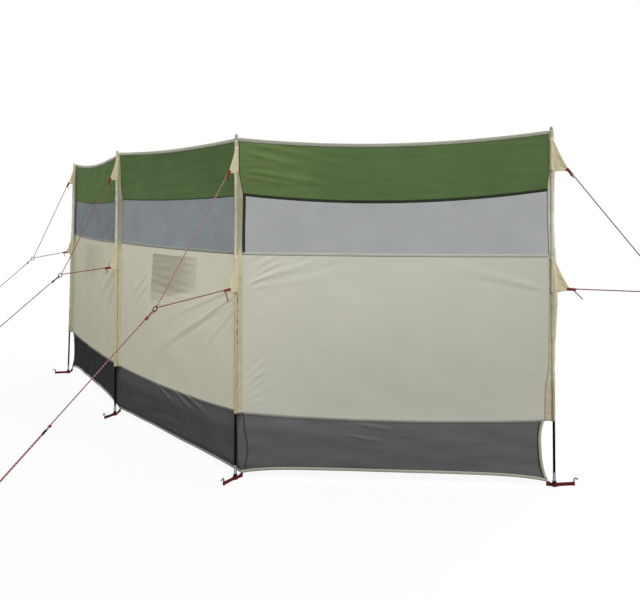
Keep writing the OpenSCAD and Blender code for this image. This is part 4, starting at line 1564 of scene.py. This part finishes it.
@dataclass
class Guy:
    """What stays a pole: its two tabs, their loops, the legs, the main line and its runner."""

    pole: Pole
    tab_reach: float
    upper_h: float
    lower_h: float
    ring_out: float
    ring_drop: float
    peg_out: float
    tails: Pair = (20 * MM, 24 * MM)
    tail_lean: float = -0.35
    sleeve_r: float = 7.8 * MM
    collar_r: float = 9.2 * MM
    upper_drop: float = 34 * MM
    lower_drop: float = 22 * MM
    tip_h: float = 12 * MM
    tip_rise: float = 14 * MM
    tab_t: float = 1.6 * MM
    tab_hollows: Pair = (3 * MM, 7 * MM)
    hem_t: float = 1.2 * MM
    collar_t: float = 0.8 * MM
    collar_rise: float = 4 * MM
    collar_turn: Pair = (38, 322)
    loop_len: float = 14 * MM
    loop_eye: float = 3 * MM
    webbing_t: float = 1.5 * MM
    cord_r: float = 2.3 * MM
    knot_shares: Pair = (1.6, 1.9)
    eye_turn: float = 4.2 * MM
    main_end: float = 50 * MM
    main_knot: float = 34 * MM
    ring_r: float = 11.5 * MM
    ring_wire: float = 4.2 * MM
    ring_tilt: float = -20
    peg_h: float = 30 * MM
    peg_d: float = 5 * MM
    runner_share: float = 0.5
    runner_len: float = 30 * MM
    runner_bar: Triple = (19 * MM, 11 * MM, 5.5 * MM)
    runner_eye: float = 4.2 * MM
    runner_eyes_at: float = 10 * MM
    runner_wire: float = 3 * MM
    cord_sides: int = 8
    fleck: float = 0.3
    fleck_shares: Triple = (1.0, 0.3, 0.55)

    def __post_init__(self) -> None:
        """Works out the guy's plane and its main places."""
        self.tag = self.pole.tag
        self.out = heading(ROW.guy_headings[self.pole])
        self.aside = np.cross(UP, self.out)
        upper_top = ROW.sleeve_top(self.pole) - self.upper_drop
        lower_top = ROW.wall_top - self.lower_drop
        self.tops = (upper_top, lower_top)
        self.heights = (self.upper_h, self.lower_h)
        upper_tip = upper_top - self.upper_h + self.tip_h / 2
        lower_tip = lower_top - self.lower_h + self.tip_rise + self.tip_h / 2
        self.tips = (upper_tip, lower_tip)
        self.ring = self.at(self.ring_out, lower_tip - self.ring_drop)
        self.peg = ROW.foot(self.pole) + self.peg_out * self.out + self.peg_h / 2 * UP

    def at(self, r: Array | float, z: Array | float) -> Array:
        """Returns points of the guy's plane, out from the leaning axis at heights."""
        return ROW.axis_at(self.pole, z) + np.asarray(r, float)[..., None] * self.out

    def gusset(self, top: float, tall: float, tip: float) -> Shape:
        """Returns one cloth gusset.

        Args:
            top: Height of its top at the sleeve.
            tall: Height along the sleeve.
            tip: Height of its tip.

        Returns:
            The gusset as a closed sheet, thicker along its sewn edges.
        """
        root = self.sleeve_r - MM
        v = np.linspace(0, 1, 25)[:, None]
        t = np.linspace(0, 1, 15)[None, :]
        hollow_low, hollow_high = self.tab_hollows
        low = (top - tall) * (1 - t) + (tip - self.tip_h / 2) * t + hollow_low * 4 * t * (1 - t)
        high = top * (1 - t) + (tip + self.tip_h / 2) * t - hollow_high * 4 * t * (1 - t)
        z = low + (high - low) * v
        r = root + (self.tab_reach - root) * t + 0 * v
        wave = 0.8 * MM * np.sin(np.pi * t) * np.sin(7 * v + 4 * t + self.pole)
        wave = wave + 0.4 * MM * np.sin(17 * v - 6 * t)
        grid = self.at(r, z) + wave[..., None] * self.aside
        sewn = np.maximum(1 - ease(0.0, 0.08, v), ease(0.92, 1.0, v)) + 0 * t
        flat = np.stack([r, z, 0 * r], -1)
        return shell(grid, self.tab_t + self.hem_t * sewn, {FLAT: flat, SHADE: white_shade(r.shape)})

    def collar(self, top: float, tall: float) -> Shape:
        """Returns the part of a tab's cloth that wraps the sleeve.

        Args:
            top: Height of its top.
            tall: Its height.

        Returns:
            The collar as a closed sheet.
        """
        back = ROW.web_headings[self.pole] + 180
        turns = np.radians(back + np.linspace(*self.collar_turn, 33))[None, :]
        z = np.linspace(top - tall, top + self.collar_rise, 15)[:, None] + 0 * turns
        r = self.collar_r + 0.5 * MM * np.sin(31 * turns / 6 + 90 * z)
        around = np.stack([np.cos(turns) + 0 * z, np.sin(turns) + 0 * z, 0 * z], -1)
        grid = ROW.axis_at(self.pole, z) + r[..., None] * around
        flat = np.stack([self.collar_r * turns + 0 * z, z, 0 * z], -1)
        return shell(grid, self.collar_t, {FLAT: flat, SHADE: white_shade(z.shape)})

    def tabs(self) -> Object:
        """Builds the two gussets with their collars.

        Returns:
            Their piece.
        """
        sizes = list(zip(self.tops, self.heights, self.tips))
        shapes = [self.gusset(*size) for size in sizes] + [self.collar(top, tall) for top, tall, _ in sizes]
        shape = Shape.joined(shapes)
        node = f"guy_tabs_{self.tag}"
        piece = make_piece(f"{node}_cloth", shape, FINISHES.tab, [node])
        deep = self.tab_reach - self.sleeve_r + MM
        wrap = self.collar_r * math.radians(self.collar_turn[1] - self.collar_turn[0])
        hollow = sum(self.tab_hollows)
        area = sum(deep * (tall + self.tip_h) / 2 - hollow * deep * 2 / 3 for tall in self.heights)
        area += sum(wrap * (tall + self.collar_rise) for tall in self.heights)
        round(sum(self.heights) + 2 * self.collar_rise, 3)
        return piece

    def leg_run(self, tip: float) -> tuple[Array, Array]:
        """Returns a tab's tip and the direction of its leg to the ring."""
        start = self.at(self.tab_reach, tip)
        return start, unit(self.ring - start)

    def loops(self) -> Shape:
        """Folds the webbing at both tips.

        Returns:
            The loops.
        """
        made = []
        for tip in self.tips:
            start, run = self.leg_run(tip)
            wide = unit(np.cross(run, self.aside))
            near = self.webbing_t * 0.6
            half = ((-9 * MM, near + self.tab_t / 2), (4 * MM, near), (self.loop_len - 5 * MM, self.loop_eye))
            stops = [
                *(start + far * run + off * self.aside for far, off in half),
                start + self.loop_len * run,
                *(start + far * run - off * self.aside for far, off in half[::-1]),
            ]
            made.append(sweep(smooth_line(stops, 1.5 * MM), strap_outline(self.webbing_t, self.tip_h), wide))
        return Shape.joined(made)

    def knot(self, place: Array, run: Array, turns: float = 2.6) -> Shape:
        """Returns a coil of cord wound around a line.

        Args:
            place: Where the coil starts.
            run: Direction of the line.
            turns: Number of turns.

        Returns:
            The coil.
        """
        side = unit(np.cross(run, UP))
        over = np.cross(side, run)
        t = np.linspace(0, turns, int(turns * 12))
        angle = 2 * np.pi * t
        radius, pitch = (share * self.cord_r for share in self.knot_shares)
        path = (
            place
            + (t * pitch)[:, None] * run
            + radius * np.cos(angle)[:, None] * side
            + radius * np.sin(angle)[:, None] * over
        )
        coil = sweep(path, round_outline(self.cord_r, self.cord_sides), run)
        coil.fields[ALONG] = coil.fields[ALONG] * 0
        return coil

    def bight(
        self, place: Array, run: Array, side: Array, reach: float, length: float
    ) -> list[Array]:
        """Returns the stops of a cord's end that turns around something and comes back to its knot.

        Args:
            place: Middle of what the cord turns around.
            run: Direction of the line away from it.
            side: Direction that the end lies on.
            reach: Half of the turn's width.
            length: Length of the end beyond the turn.

        Returns:
            Stops from the free end round to the line.
        """
        half = ((reach + 11 * MM, self.cord_r), (0.8 * reach, reach), (-0.35 * reach, 0.8 * reach))
        return [
            place + length * run + self.cord_r * 1.1 * side,
            *(place + far * run + off * side for far, off in half),
            place - reach * run,
            *(place + far * run - off * side for far, off in half[::-1]),
        ]

    def line(self) -> Object:
        """Builds the legs, the main line and their knots.

        Returns:
            Their piece.
        """
        outline = round_outline(self.cord_r, self.cord_sides)
        turn = self.ring_wire / 2 + self.cord_r
        run, wide = self.ring_axes()
        apex = self.ring - (self.ring_r - turn) * run
        ends = []
        made = []
        for tip, tail in zip(self.tips, self.tails):
            start, leg = self.leg_run(tip)
            side = unit(np.cross(self.aside, leg))
            eye = start + (self.loop_len - 1 * MM) * leg
            ends.append(self.bight(eye, leg, side, self.eye_turn, 0)[1:] + [apex - 9 * MM * leg])
            made.append(self.knot(eye + 3 * MM * leg, leg))
            fall = eye + 7 * MM * leg + 2.4 * self.cord_r * side
            drop = tail * (self.tail_lean * self.out - UP)
            hang = smooth_line([fall, fall + 0.3 * drop, fall + drop], 3 * MM)
            made.append(sweep(hang, outline, self.aside))
        made.append(sweep(smooth_line([*ends[0], apex, *ends[1][::-1]], 6 * MM), outline, self.aside))
        side = np.cross(run, wide)
        rim = self.ring + self.ring_r * run
        back = float(norm(self.peg - self.ring)) * (1 - self.runner_share) + 6 * MM
        stops = self.bight(rim, run, side, turn, self.main_end)
        stops += self.bight(self.peg, -run, self.aside, self.peg_d / 2 + self.cord_r, back)[::-1]
        made.append(sweep(smooth_line(stops, 6 * MM), outline, side))
        upper = float(norm(apex - self.at(self.tab_reach, self.tips[0])))
        legs = made[-2].fields[ALONG]
        upper_share, lower_share, main_share = self.fleck_shares
        legs[:, 2] = self.fleck * np.where(legs[:, 0] < upper, upper_share, lower_share)
        made[-1].fields[ALONG][:, 2] = main_share * self.fleck
        made.append(self.knot(rim + self.main_knot * run, run, 3.0))
        made.append(self.knot(self.peg - (back + 2 * MM) * run, -run, 2.0))
        node = f"guy_line_{self.tag}"
        return make_piece(f"{node}_cord", Shape.joined(made), FINISHES.cord, [node])

    def ring_axes(self) -> tuple[Array, Array]:
        """Works out how the ring lies.

        Returns:
            Its axis along the main line and the one across it, out of the guy's plane.
        """
        run = unit(self.peg - self.ring)
        tilt = math.radians(self.ring_tilt)
        return run, math.cos(tilt) * np.cross(self.aside, run) + math.sin(tilt) * self.aside

    def ring_shape(self) -> Shape:
        """Moulds what joins the legs to the main line.

        Returns:
            The ring.
        """
        run, wide = self.ring_axes()
        path = self.ring + self.ring_r * circle(run, wide, 36)
        return sweep(path, round_outline(self.ring_wire / 2, 10), np.cross(run, wide), closed=True)

    def runner(self) -> Shape:
        """Moulds the slider that tightens the main line.

        Returns:
            A flat bar with an eye at each end.
        """
        run = unit(self.peg - self.ring)
        middle = self.ring + self.runner_share * (self.peg - self.ring) + self.runner_len / 2 * run
        over = unit(np.cross(run, self.aside))
        eye = self.runner_eye * circle(run, self.aside, 20)
        long, wide, thick = self.runner_bar
        bar = middle + np.array([[-long / 2], [0.0], [long / 2]]) * run
        parts = [sweep(bar, strap_outline(thick, wide), self.aside)]
        wire = round_outline(self.runner_wire / 2, 8)
        for end in (-self.runner_eyes_at, self.runner_eyes_at):
            parts.append(sweep(middle + end * run + eye, wire, over, closed=True))
        return Shape.joined(parts)


@dataclass
class Fittings:
    """Turned ends of the poles: caps, ferrules and foot cups."""

    pole_d: float = 11 * MM
    cap_h: float = 45 * MM
    ferrule_d: float = 13 * MM
    ferrule_h: float = 56 * MM
    cup_d: float = 18 * MM
    cup_h: float = 24 * MM
    cup_floor: float = 4 * MM
    rim_out: float = 1.8 * MM
    gap: float = 0.3 * MM
    sides: int = 28

    def lean(self, i: Pole) -> Array:
        """Returns the direction of a pole's axis."""
        return np.array([ROW.lean_x_shares[i], ROW.lean_y_shares[i], 1.0])

    def cap(self, i: Pole) -> Shape:
        """Turns the cap of a pole.

        Args:
            i: The pole.

        Returns:
            A cap with a rim on the sleeve and a rounded tip.
        """
        r = self.pole_d / 2
        top = ROW.pole_top(i)
        rim = r + self.rim_out
        rest = ROW.sleeve_top(i) + 1 * MM
        dome = [(rim * math.cos(a), top - rim + rim * math.sin(a)) for a in np.linspace(0.2, 1.35, 7)]
        stations = [(r, top - self.cap_h), (r, rest), (rim, rest + 1 * MM), *dome]
        return lathe(stations, self.sides, ROW.foot(i), self.lean(i))

    def ferrule(self, i: Pole) -> Shape:
        """Turns the ferrule of a pole.

        Args:
            i: The pole.

        Returns:
            A ferrule with a crimp below its rolled top.
        """
        r = self.ferrule_d / 2
        low = self.cup_floor + self.gap
        high = low + self.ferrule_h
        stations = [
            (r - 1 * MM, low), (r, low + 1 * MM), (r, high - 14 * MM), (r - 0.6 * MM, high - 13 * MM),
            (r - 0.6 * MM, high - 10 * MM), (r, high - 9 * MM), (r, high - 1.5 * MM), (r - 0.6 * MM, high),
        ]
        return lathe(stations, self.sides, ROW.foot(i), self.lean(i))

    def cup(self, i: Pole) -> Shape:
        """Turns the foot cup of a pole.

        Args:
            i: The pole.

        Returns:
            A cup with a flared foot and a rolled rim around its hollow.
        """
        r = self.cup_d / 2
        bore = self.ferrule_d / 2 + 1.2 * MM
        rim = (r + bore) / 2
        stations = [
            (r - 1 * MM, 0), (r, 1 * MM), (r, 4 * MM), (r - 0.8 * MM, 6 * MM),
            (r - 0.8 * MM, self.cup_h - 4 * MM), (r, self.cup_h - 2.5 * MM),
            (r - 0.2 * MM, self.cup_h - 0.6 * MM), (rim, self.cup_h),
            (bore, self.cup_h - 0.6 * MM), (bore, self.cup_floor),
        ]
        return lathe(stations, self.sides, ROW.foot(i), UP)

    def build(self) -> None:
        """Builds the fittings of all poles."""
        kinds = (
            ("pole_caps", self.cap, FINISHES.cap, Slot.CAP),
            ("pole_ferrules", self.ferrule, FINISHES.steel, Slot.STEEL),
            ("foot_cups", self.cup, FINISHES.plastic, Slot.PLASTIC),
        )
        for name, turn, finish, slot in kinds:
            piece = make_piece(f"{name}_turned", Shape.joined([turn(i) for i in Pole]), finish, [name])
            sharpen(piece)


@dataclass
class FootStraps:
    """Red webbing at the feet, on edge: around the cups, out to the pegs and in to the skirt's corners."""

    width: float = 15 * MM
    thick: float = 1.8 * MM
    cup_r: float = 9.3 * MM
    peg_at: float = 88 * MM
    peg_r: float = 2.8 * MM
    corner_out: float = 34 * MM
    corner_fall: float = 17 * MM
    corner_rise: float = 9 * MM

    def loop(self, middle: Array, out: Array, r: float) -> list[Array]:
        """Returns stops around something round, from its near side and back.

        Args:
            middle: Middle of the round thing.
            out: Direction in which the loop goes past it.
            r: Radius of the loop.

        Returns:
            Stops from one side round to the other.
        """
        aside = np.cross(UP, out)
        angles = np.linspace(-0.6 * np.pi, 0.6 * np.pi, 9)
        return [middle + r * (math.cos(a) * out + math.sin(a) * aside) for a in angles]

    def strap(self, i: Pole) -> Shape:
        """Sews the strap of one foot.

        Args:
            i: The pole.

        Returns:
            The webbing.
        """
        foot = ROW.foot(i) + self.width / 2 * UP
        out = heading(ROW.strap_headings[i])
        aside = np.cross(UP, out)
        half = self.thick * 0.55
        r = self.cup_r + self.thick / 2
        peg = foot + self.peg_at * out
        stops = ((20 * MM, 0.0), (50 * MM, 0.6 * MM), (self.peg_at - 9 * MM, 0.0))
        run = [
            *self.loop(foot, -out, r),
            *(foot + far * out - half * aside + sway * aside for far, sway in stops),
            *self.loop(peg, out, self.peg_r + self.thick / 2),
            *(foot + far * out + half * aside + sway * aside for far, sway in stops[::-1]),
        ]
        line = smooth_line([*run, run[0]], 3 * MM)[:-1]
        belt = sweep(line, strap_outline(self.thick, self.width), UP, closed=True)
        return Shape.joined([belt, self.corner(i)])

    def corner(self, i: Pole) -> Shape:
        """Sews the strap from a cup up to the skirt's corner.

        Args:
            i: The pole.

        Returns:
            The webbing.
        """
        hem = ROW.level_at(i, Level.HEM)
        inward = -heading(ROW.web_headings[i])
        v = np.linspace(0, 1, 9)[:, None]
        t = np.linspace(0, 1, 12)[None, :]
        r = (self.cup_r + 1 * MM) * (1 - t) + self.corner_out * t + 0 * v
        low = 0.5 * MM * (1 - t) + (hem - self.corner_fall) * t
        high = (self.width - 2 * MM) * (1 - t) + (hem + self.corner_rise) * t
        z = low + (high - low) * v
        sway = 1.2 * MM * np.sin(np.pi * t) * np.sin(5 * v)
        aside = np.cross(UP, inward)
        grid = ROW.foot(i) + r[..., None] * inward + z[..., None] * UP + sway[..., None] * aside
        return shell(grid, self.thick, {ALONG: np.stack([r, z / self.width, 0 * r], -1)})

    def build(self) -> Object:
        """Builds the straps of all feet and returns their piece."""
        shape = Shape.joined([self.strap(i) for i in Pole])
        return make_piece("foot_straps_webbing", shape, FINISHES.foot_webbing, ["foot_straps"])


@dataclass
class SkirtTrim:
    """Bindings and seams that bow with the skirt's ends and beside the inner poles."""

    bays: dict[Bay, ClothBay]
    seam_w: float = 6.5 * MM
    arc_at: float = 1 * MM
    arc_out: float = 30 * MM
    arc_foot: float = 15 * MM
    window_sides: Triple = (25 * MM, 13 * MM, 2 * MM)
    green_sides: Pair = (14 * MM, 3 * MM)

    def build(self) -> None:
        """Builds the end tapes, the arc seams and the dark sides of the windows, whose darkness is partly
        painted shade.
        """
        left = self.bays[Bay.LEFT]
        right = self.bays[Bay.RIGHT]
        tape_w = left.end_tape_w
        gap = ROW.seam_gap
        end = ROW.bay_w - gap
        skirt = Level.HEM_TOP

        def start(v: Array) -> Array:
            """Returns where the left bay's skirt starts."""
            return gap + ROW.bow(Bay.LEFT, v)

        def stop(v: Array) -> Array:
            """Returns where the right bay's skirt stops, less its tape."""
            return end - ROW.bow(Bay.RIGHT, v) - tape_w

        def arc(v: Array) -> Array:
            """Returns where a seam beside an inner pole runs."""
            return self.arc_at + self.arc_foot * (1 - v) + self.arc_out * np.sin(np.pi * v**0.8)

        tapes = Shape.joined([
            left.upright(start, tape_w, skirt, left.tape_t),
            right.upright(stop, tape_w, skirt, right.tape_t),
        ])
        make_piece("skirt_end_tapes_binding", tapes, FINISHES.end_tape, ["skirt_end_tapes"])
        seams = Shape.joined([
            left.upright(lambda v: start(v) + tape_w, self.seam_w, skirt, left.strip_t),
            right.upright(lambda v: stop(v) - self.seam_w, self.seam_w, skirt, right.strip_t),
            *(bay.upright(arc, self.seam_w, skirt, bay.strip_t) for bay in (self.bays[Bay.MIDDLE], right)),
        ])
        seams.fields = {ALONG: seams.fields[FLAT]}
        make_piece("skirt_arc_seams", seams, FINISHES.seam_tape)
        # Dark strips beside the windows: partly binding, partly painted shade of the sleeves' flaps and the
        # gaps beside them.
        far, near, last = self.window_sides
        sides = (
            (right, gap, near, Level.WALL_TOP),
            (right, gap, self.green_sides[1], Level.MESH_TOP),
            (right, end - last, last, Level.WALL_TOP),
            (left, gap, far, Level.WALL_TOP),
            (left, gap, self.green_sides[0], Level.MESH_TOP),
        )
        shapes = [bay.upright(lambda v: at + 0 * v, wide, low, bay.strip_t) for bay, at, wide, low in sides]
        make_piece("mesh_sides", Shape.joined(shapes), FINISHES.green_edge)


@dataclass
class Pockets:
    """Patch pockets on the sheltered side of the left and middle walls."""

    bays: dict[Bay, ClothBay]
    left_at: float = 468 * MM
    width: float = 500 * MM
    drop: float = 48 * MM
    height: float = 220 * MM
    slack: float = 2.5 * MM
    stand: float = 1.5 * MM
    mouth_stand: float = 2.2 * MM
    mouth_h: float = 8 * MM
    left_fall: float = 30 * MM
    right_rise: float = 70 * MM
    covers: Pair = (0.32, 1.0)

    def sheet(self, bay: ClothBay, low: float, high: float, lift: float) -> Shape:
        """Returns a sheet behind a wall between two heights.

        Args:
            bay: The bay that carries it.
            low: Height of its bottom.
            high: Height of its top.
            lift: Distance from the wall at its edges.

        Returns:
            The sheet.
        """
        rows = max(3, round((high - low) / bay.step))
        cols = round(self.width / bay.step)
        v = np.linspace(0, 1, rows + 1)[:, None]
        t = np.linspace(0, 1, cols + 1)[None, :]
        u = (self.left_at + self.width * t + 0 * v) / ROW.bay_w
        foot = low + (self.right_rise * t - self.left_fall * (1 - t)) * (high - low) / self.height
        z = foot + (high - foot) * v
        share = (z - (ROW.wall_top - self.drop - self.height)) / self.height
        hang = self.slack * np.sin(np.pi * t) * np.sqrt(np.clip(share, 0, 1)) + lift
        grid = bay.surface(u, z) - hang[..., None] * ROW.normal(bay.bay)
        flat = np.stack([u * ROW.bay_w, z, 0 * u], -1)
        shade = white_shade(u.shape)
        shade[..., 3] = self.covers[bay.bay] * (0.45 + 0.55 * ease(0, 0.3, share) * (1 - ease(0.6, 1.0, t)))
        return leaf(grid, {FLAT: flat, SHADE: shade})

    def build(self) -> None:
        """Builds the pockets and their hemmed mouths."""
        high = ROW.wall_top - self.drop
        low = high - self.height
        carriers = [self.bays[Bay.LEFT], self.bays[Bay.MIDDLE]]
        cloth = Shape.joined([self.sheet(bay, low, high, self.stand) for bay in carriers])
        piece = make_piece("inner_pockets_cloth", cloth, FINISHES.pocket, ["inner_pockets"])
        top = high - self.mouth_h
        hems = Shape.joined([self.sheet(bay, top, high, self.mouth_stand) for bay in carriers])
        mouths = make_piece("pocket_mouths", hems, FINISHES.pocket)


@dataclass(frozen=True)
class Stage:
    """Floor, light and camera."""

    eye: Triple = (0.605, -3.480, 1.167)
    yaw: float = 3.85
    lens: float = 45.23
    sensor: float = 36.0
    horizon_shift: float = -0.1375
    floor_size: float = 400.0
    floor_colour: str = "#595959"
    floor_glow: float = 0.875
    far: Pair = (6.0, 14.0)
    sky_colour: str = "#ffffff"
    sky_light: float = 0.45

    def camera(self) -> None:
        """Places the camera at the photograph's viewpoint."""
        data = bpy.data.cameras.new("view")
        data.sensor_width = self.sensor
        data.lens = self.lens
        data.shift_y = self.horizon_shift
        data.clip_end = 300
        camera = bpy.data.objects.new("view", data)
        camera.location = self.eye
        camera.rotation_euler = (math.pi / 2, 0, math.radians(self.yaw))
        bpy.context.scene.collection.objects.link(camera)
        bpy.context.scene.camera = camera

    def seen(self, tree: NodeTree) -> NodeSocket:
        """Tells rays that show the background, from the camera, a mirror or glass, from the rest.

        Args:
            tree: The node tree.

        Returns:
            A socket that is 1 for them and 0 for the rest.
        """
        add = partial(add_node, tree)
        path = add("LightPath").node.outputs
        either = {"operation": "MAXIMUM"}
        pair = add("Math", either, {0: path["Is Camera Ray"], 1: path["Is Glossy Ray"]})
        return add("Math", either, {0: pair, 1: path["Is Transmission Ray"]})

    def floor(self) -> None:
        """Lays a pale floor that shows white and keeps the object's shadow."""
        half = self.floor_size / 2
        mesh = bpy.data.meshes.new("floor")
        corners = [(-half, -half, 0), (half, -half, 0), (half, half, 0), (-half, half, 0)]
        mesh.from_pydata(corners, [], [(0, 1, 2, 3)])
        floor = bpy.data.objects.new("floor", mesh)
        floor.location.z = -0.5 * MM
        bpy.context.scene.collection.objects.link(floor)
        made = bpy.data.materials.new("pale_floor")
        made.use_nodes = True
        tree = made.node_tree
        tree.nodes.clear()
        add = partial(add_node, tree)
        matt = add("BsdfDiffuse", {"Color": linear(self.floor_colour)})
        strength = add("Math", {"operation": "MULTIPLY", 1: self.floor_glow}, {0: self.seen(tree)})
        glow = add("Emission", links={"Strength": strength})
        both = add("AddShader", links={0: matt, 1: glow})
        place = add("NewGeometry", out="Position")
        away = add("VectorMath", {"operation": "LENGTH"}, {0: place}, out="Value")
        fade = {"From Min": self.far[0], "From Max": self.far[1]}
        far = add("MapRange", fade, {"Value": away})
        white = add("Emission", links={"Strength": self.seen(tree)})
        whole = add("MixShader", links={0: far, 1: both, 2: white})
        add("OutputMaterial", links={"Surface": whole})
        mesh.materials.append(made)

    def sky(self) -> None:
        """Sets a white backdrop and an even, weaker sky light."""
        world = bpy.data.worlds.new("studio")
        world.use_nodes = True
        tree = world.node_tree
        tree.nodes.clear()
        add = partial(add_node, tree)
        light, white = (
            add("Background", {"Color": linear(self.sky_colour), "Strength": strength})
            for strength in (self.sky_light, 1.0)
        )
        both = add("MixShader", links={0: self.seen(tree), 1: light, 2: white})
        add("OutputWorld", links={"Surface": both})
        bpy.context.scene.world = world

    def lamp(self, name: str, compass: float, height: float, strength: float, spread: float) -> None:
        """Adds a broad, soft lamp far away.

        Args:
            name: The lamp's name.
            compass: Direction in the ground plane that the light comes from, in degrees.
            height: Height above the horizon, in degrees.
            strength: Strength of the light.
            spread: Angle that the lamp covers, in degrees.
        """
        data = bpy.data.lights.new(name, "SUN")
        data.energy = strength
        data.angle = math.radians(spread)
        lamp = bpy.data.objects.new(name, data)
        rise = math.radians(height)
        towards = Vector(heading(compass) * math.cos(rise) + UP * math.sin(rise))
        lamp.rotation_mode = "QUATERNION"
        lamp.rotation_quaternion = towards.to_track_quat("Z", "Y")
        bpy.context.scene.collection.objects.link(lamp)

    def build(self) -> None:
        """Builds the stage."""
        bpy.context.scene.view_settings.view_transform = "Standard"
        self.camera()
        self.floor()
        self.sky()
        self.lamp("key", compass=-62, height=42, strength=2.8, spread=50)
        self.lamp("back", compass=48, height=18, strength=2.19, spread=50)


GUYS = tuple(
    Guy(pole, *(size * MM for size in sizes), **more)
    for pole, sizes, more in (
        (Pole.LEFT_END, (45, 110.5, 117.6, 320, 50.4, 1332.8), {}),
        (Pole.LEFT_INNER, (45, 127.4, 144, 342, 27, 1400.8), {}),
        (Pole.CORNER, (42, 115, 163.2, 432, 48.9, 1360), {"tails": (24 * MM, 44 * MM), "fleck": 1.0}),
        (
            Pole.RIGHT_END, (67.2, 140.4, 151.4, 464, 3.6, 1332.8),
            {"tails": (14 * MM, 34 * MM), "tail_lean": 1.0},
        ),
    )
)

LOOKS: dict[Pole, SleeveLook] = {
    Pole.LEFT_END: SleeveLook(
        (
            (300, (1.05, 1.1, 1.2), (1.1, 1.15, 1.25)), (500, (1.3, 1.37, 1.5), (1.2, 1.27, 1.38)),
            (930, (1.2, 1.27, 1.38), (1.17, 1.23, 1.34)), (1020, (1.65, 1.8, 2.2), (0.42, 0.45, 0.5)),
            (1250, (1.65, 1.8, 2.2), (0.42, 0.45, 0.5)), (1340, (1.25, 1.3, 1.42), (0.6, 0.62, 0.6)),
            (1510, (1.25, 1.3, 1.42), (0.85, 0.86, 0.87)),
        ),
        ((300, 0.15), (930, 0.1), (1020, 0.0)),
    ),
    Pole.LEFT_INNER: SleeveLook(
        (
            (280, (1.3, 1.3, 1.3), (1.28, 1.26, 1.22)), (930, (1.32, 1.32, 1.33), (1.32, 1.3, 1.26)),
            (1020, (1.35, 1.46, 1.74), (0.87, 0.92, 1.02)), (1240, (1.35, 1.46, 1.74), (0.9, 0.94, 1.02)),
            (1340, (1.22, 1.28, 1.35), (1.1, 1.14, 1.15)),
        ),
        ((280, 0.4), (930, 0.45), (1020, 0.35)),
        far_gain=0.2,
    ),
    Pole.CORNER: SleeveLook(
        (
            (285, (1.0, 0.98, 0.92), (1.05, 1.04, 1.0)), (880, (1.05, 1.03, 0.95), (1.14, 1.12, 1.05)),
            (960, (1.18, 1.16, 1.1), (1.36, 1.35, 1.3)), (1030, (1.1, 1.15, 1.25), (0.82, 0.84, 0.86)),
            (1240, (1.0, 1.05, 1.12), (0.8, 0.82, 0.83)), (1340, (1.15, 1.16, 1.17), (0.9, 0.9, 0.88)),
        ),
        (
            (285, 0.3), (480, 0.35), (520, 0.05), (560, 0.15),
            (590, 0.75), (830, 0.75), (930, 0.35), (1030, 0.3),
        ),
        dashed_to=950,
        line_at=-2.0 * MM,
        far_gain=0.4,
    ),
    Pole.RIGHT_END: SleeveLook(
        (
            (280, (0.9, 0.9, 0.87), (1.15, 1.17, 1.18)), (420, (0.9, 0.9, 0.87), (1.15, 1.17, 1.18)),
            (500, (1.36, 1.4, 1.42), (1.27, 1.3, 1.3)), (930, (1.36, 1.4, 1.42), (1.27, 1.3, 1.3)),
            (1030, (1.5, 1.62, 1.92), (1.5, 1.62, 1.92)), (1270, (1.5, 1.62, 1.92), (1.5, 1.62, 1.92)),
            (1345, (1.28, 1.31, 1.38), (1.2, 1.23, 1.3)),
        ),
        ((280, 0.25), (930, 0.2), (1030, 0.1)),
        at_seam=True,
        pulls=((280, -2), (500, -2), (540, 0), (830, 13), (975, 6), (1120, 0), (1330, 4), (1480, 2)),
    ),
}

# One mesh in all three windows: each bay's open share stands in for the slant at which it is seen, and its
# thread colour is painted light and shade of that bay.
MESHES = (
    WindowMesh("mesh_left", "#455962", 0.105),
    WindowMesh("mesh_middle", "#4d6570", 0.17),
    WindowMesh("mesh_right", "#555d5d", 0.29),
)


def build_cloth() -> None:
    """Builds the bays with their seams and pockets, and the sleeves."""
    turned = (FINISHES.green_fold, 5 * MM, FINISHES.top_tape, FINISHES.tape)
    front = (FINISHES.green_edge, 11 * MM, FINISHES.front_top_shaded, FINISHES.front_hem)
    bays = {bay: ClothBay(bay, MESHES[bay], *(front if bay == Bay.RIGHT else turned)) for bay in Bay}
    for bay in bays.values():
        bay.build()
    SkirtTrim(bays).build()
    Pockets(bays).build()
    for pole in Pole:
        Sleeve(pole, LOOKS[pole]).build()


def build_guys() -> None:
    """Builds the guys and their runners and loops."""
    for guy in GUYS:
        guy.tabs()
        guy.line()
    loops = Shape.joined([guy.loops() for guy in GUYS])
    make_piece("tab_loops_webbing", loops, FINISHES.webbing, ["tab_loops"])
    runners = Shape.joined([guy.runner() for guy in GUYS])
    sharpen(make_piece("guy_runners_moulded", runners, FINISHES.plastic, ["guy_runners"]), 50)
    rings = Shape.joined([guy.ring_shape() for guy in GUYS])
    make_piece("guy_rings_moulded", rings, FINISHES.plastic, ["guy_rings"])


def dress_solids() -> None:
    """Gives the solids that stay in view their finishes."""
    for pole in Pole:
        dress_node(f"pole_{pole.tag}", FINISHES.rod)
    dress_node("guy_pegs", FINISHES.dark_steel)
    dress_node("foot_pegs", FINISHES.dark_steel)


def main() -> None:
    """Builds the windbreak's looks and its stage."""
    logging.basicConfig(level=logging.INFO, format="%(name)s %(message)s")
    Stage().build()
    build_cloth()
    build_guys()
    Fittings().build()
    FootStraps().build()
    dress_solids()


if __name__ == "__main__":
    main()
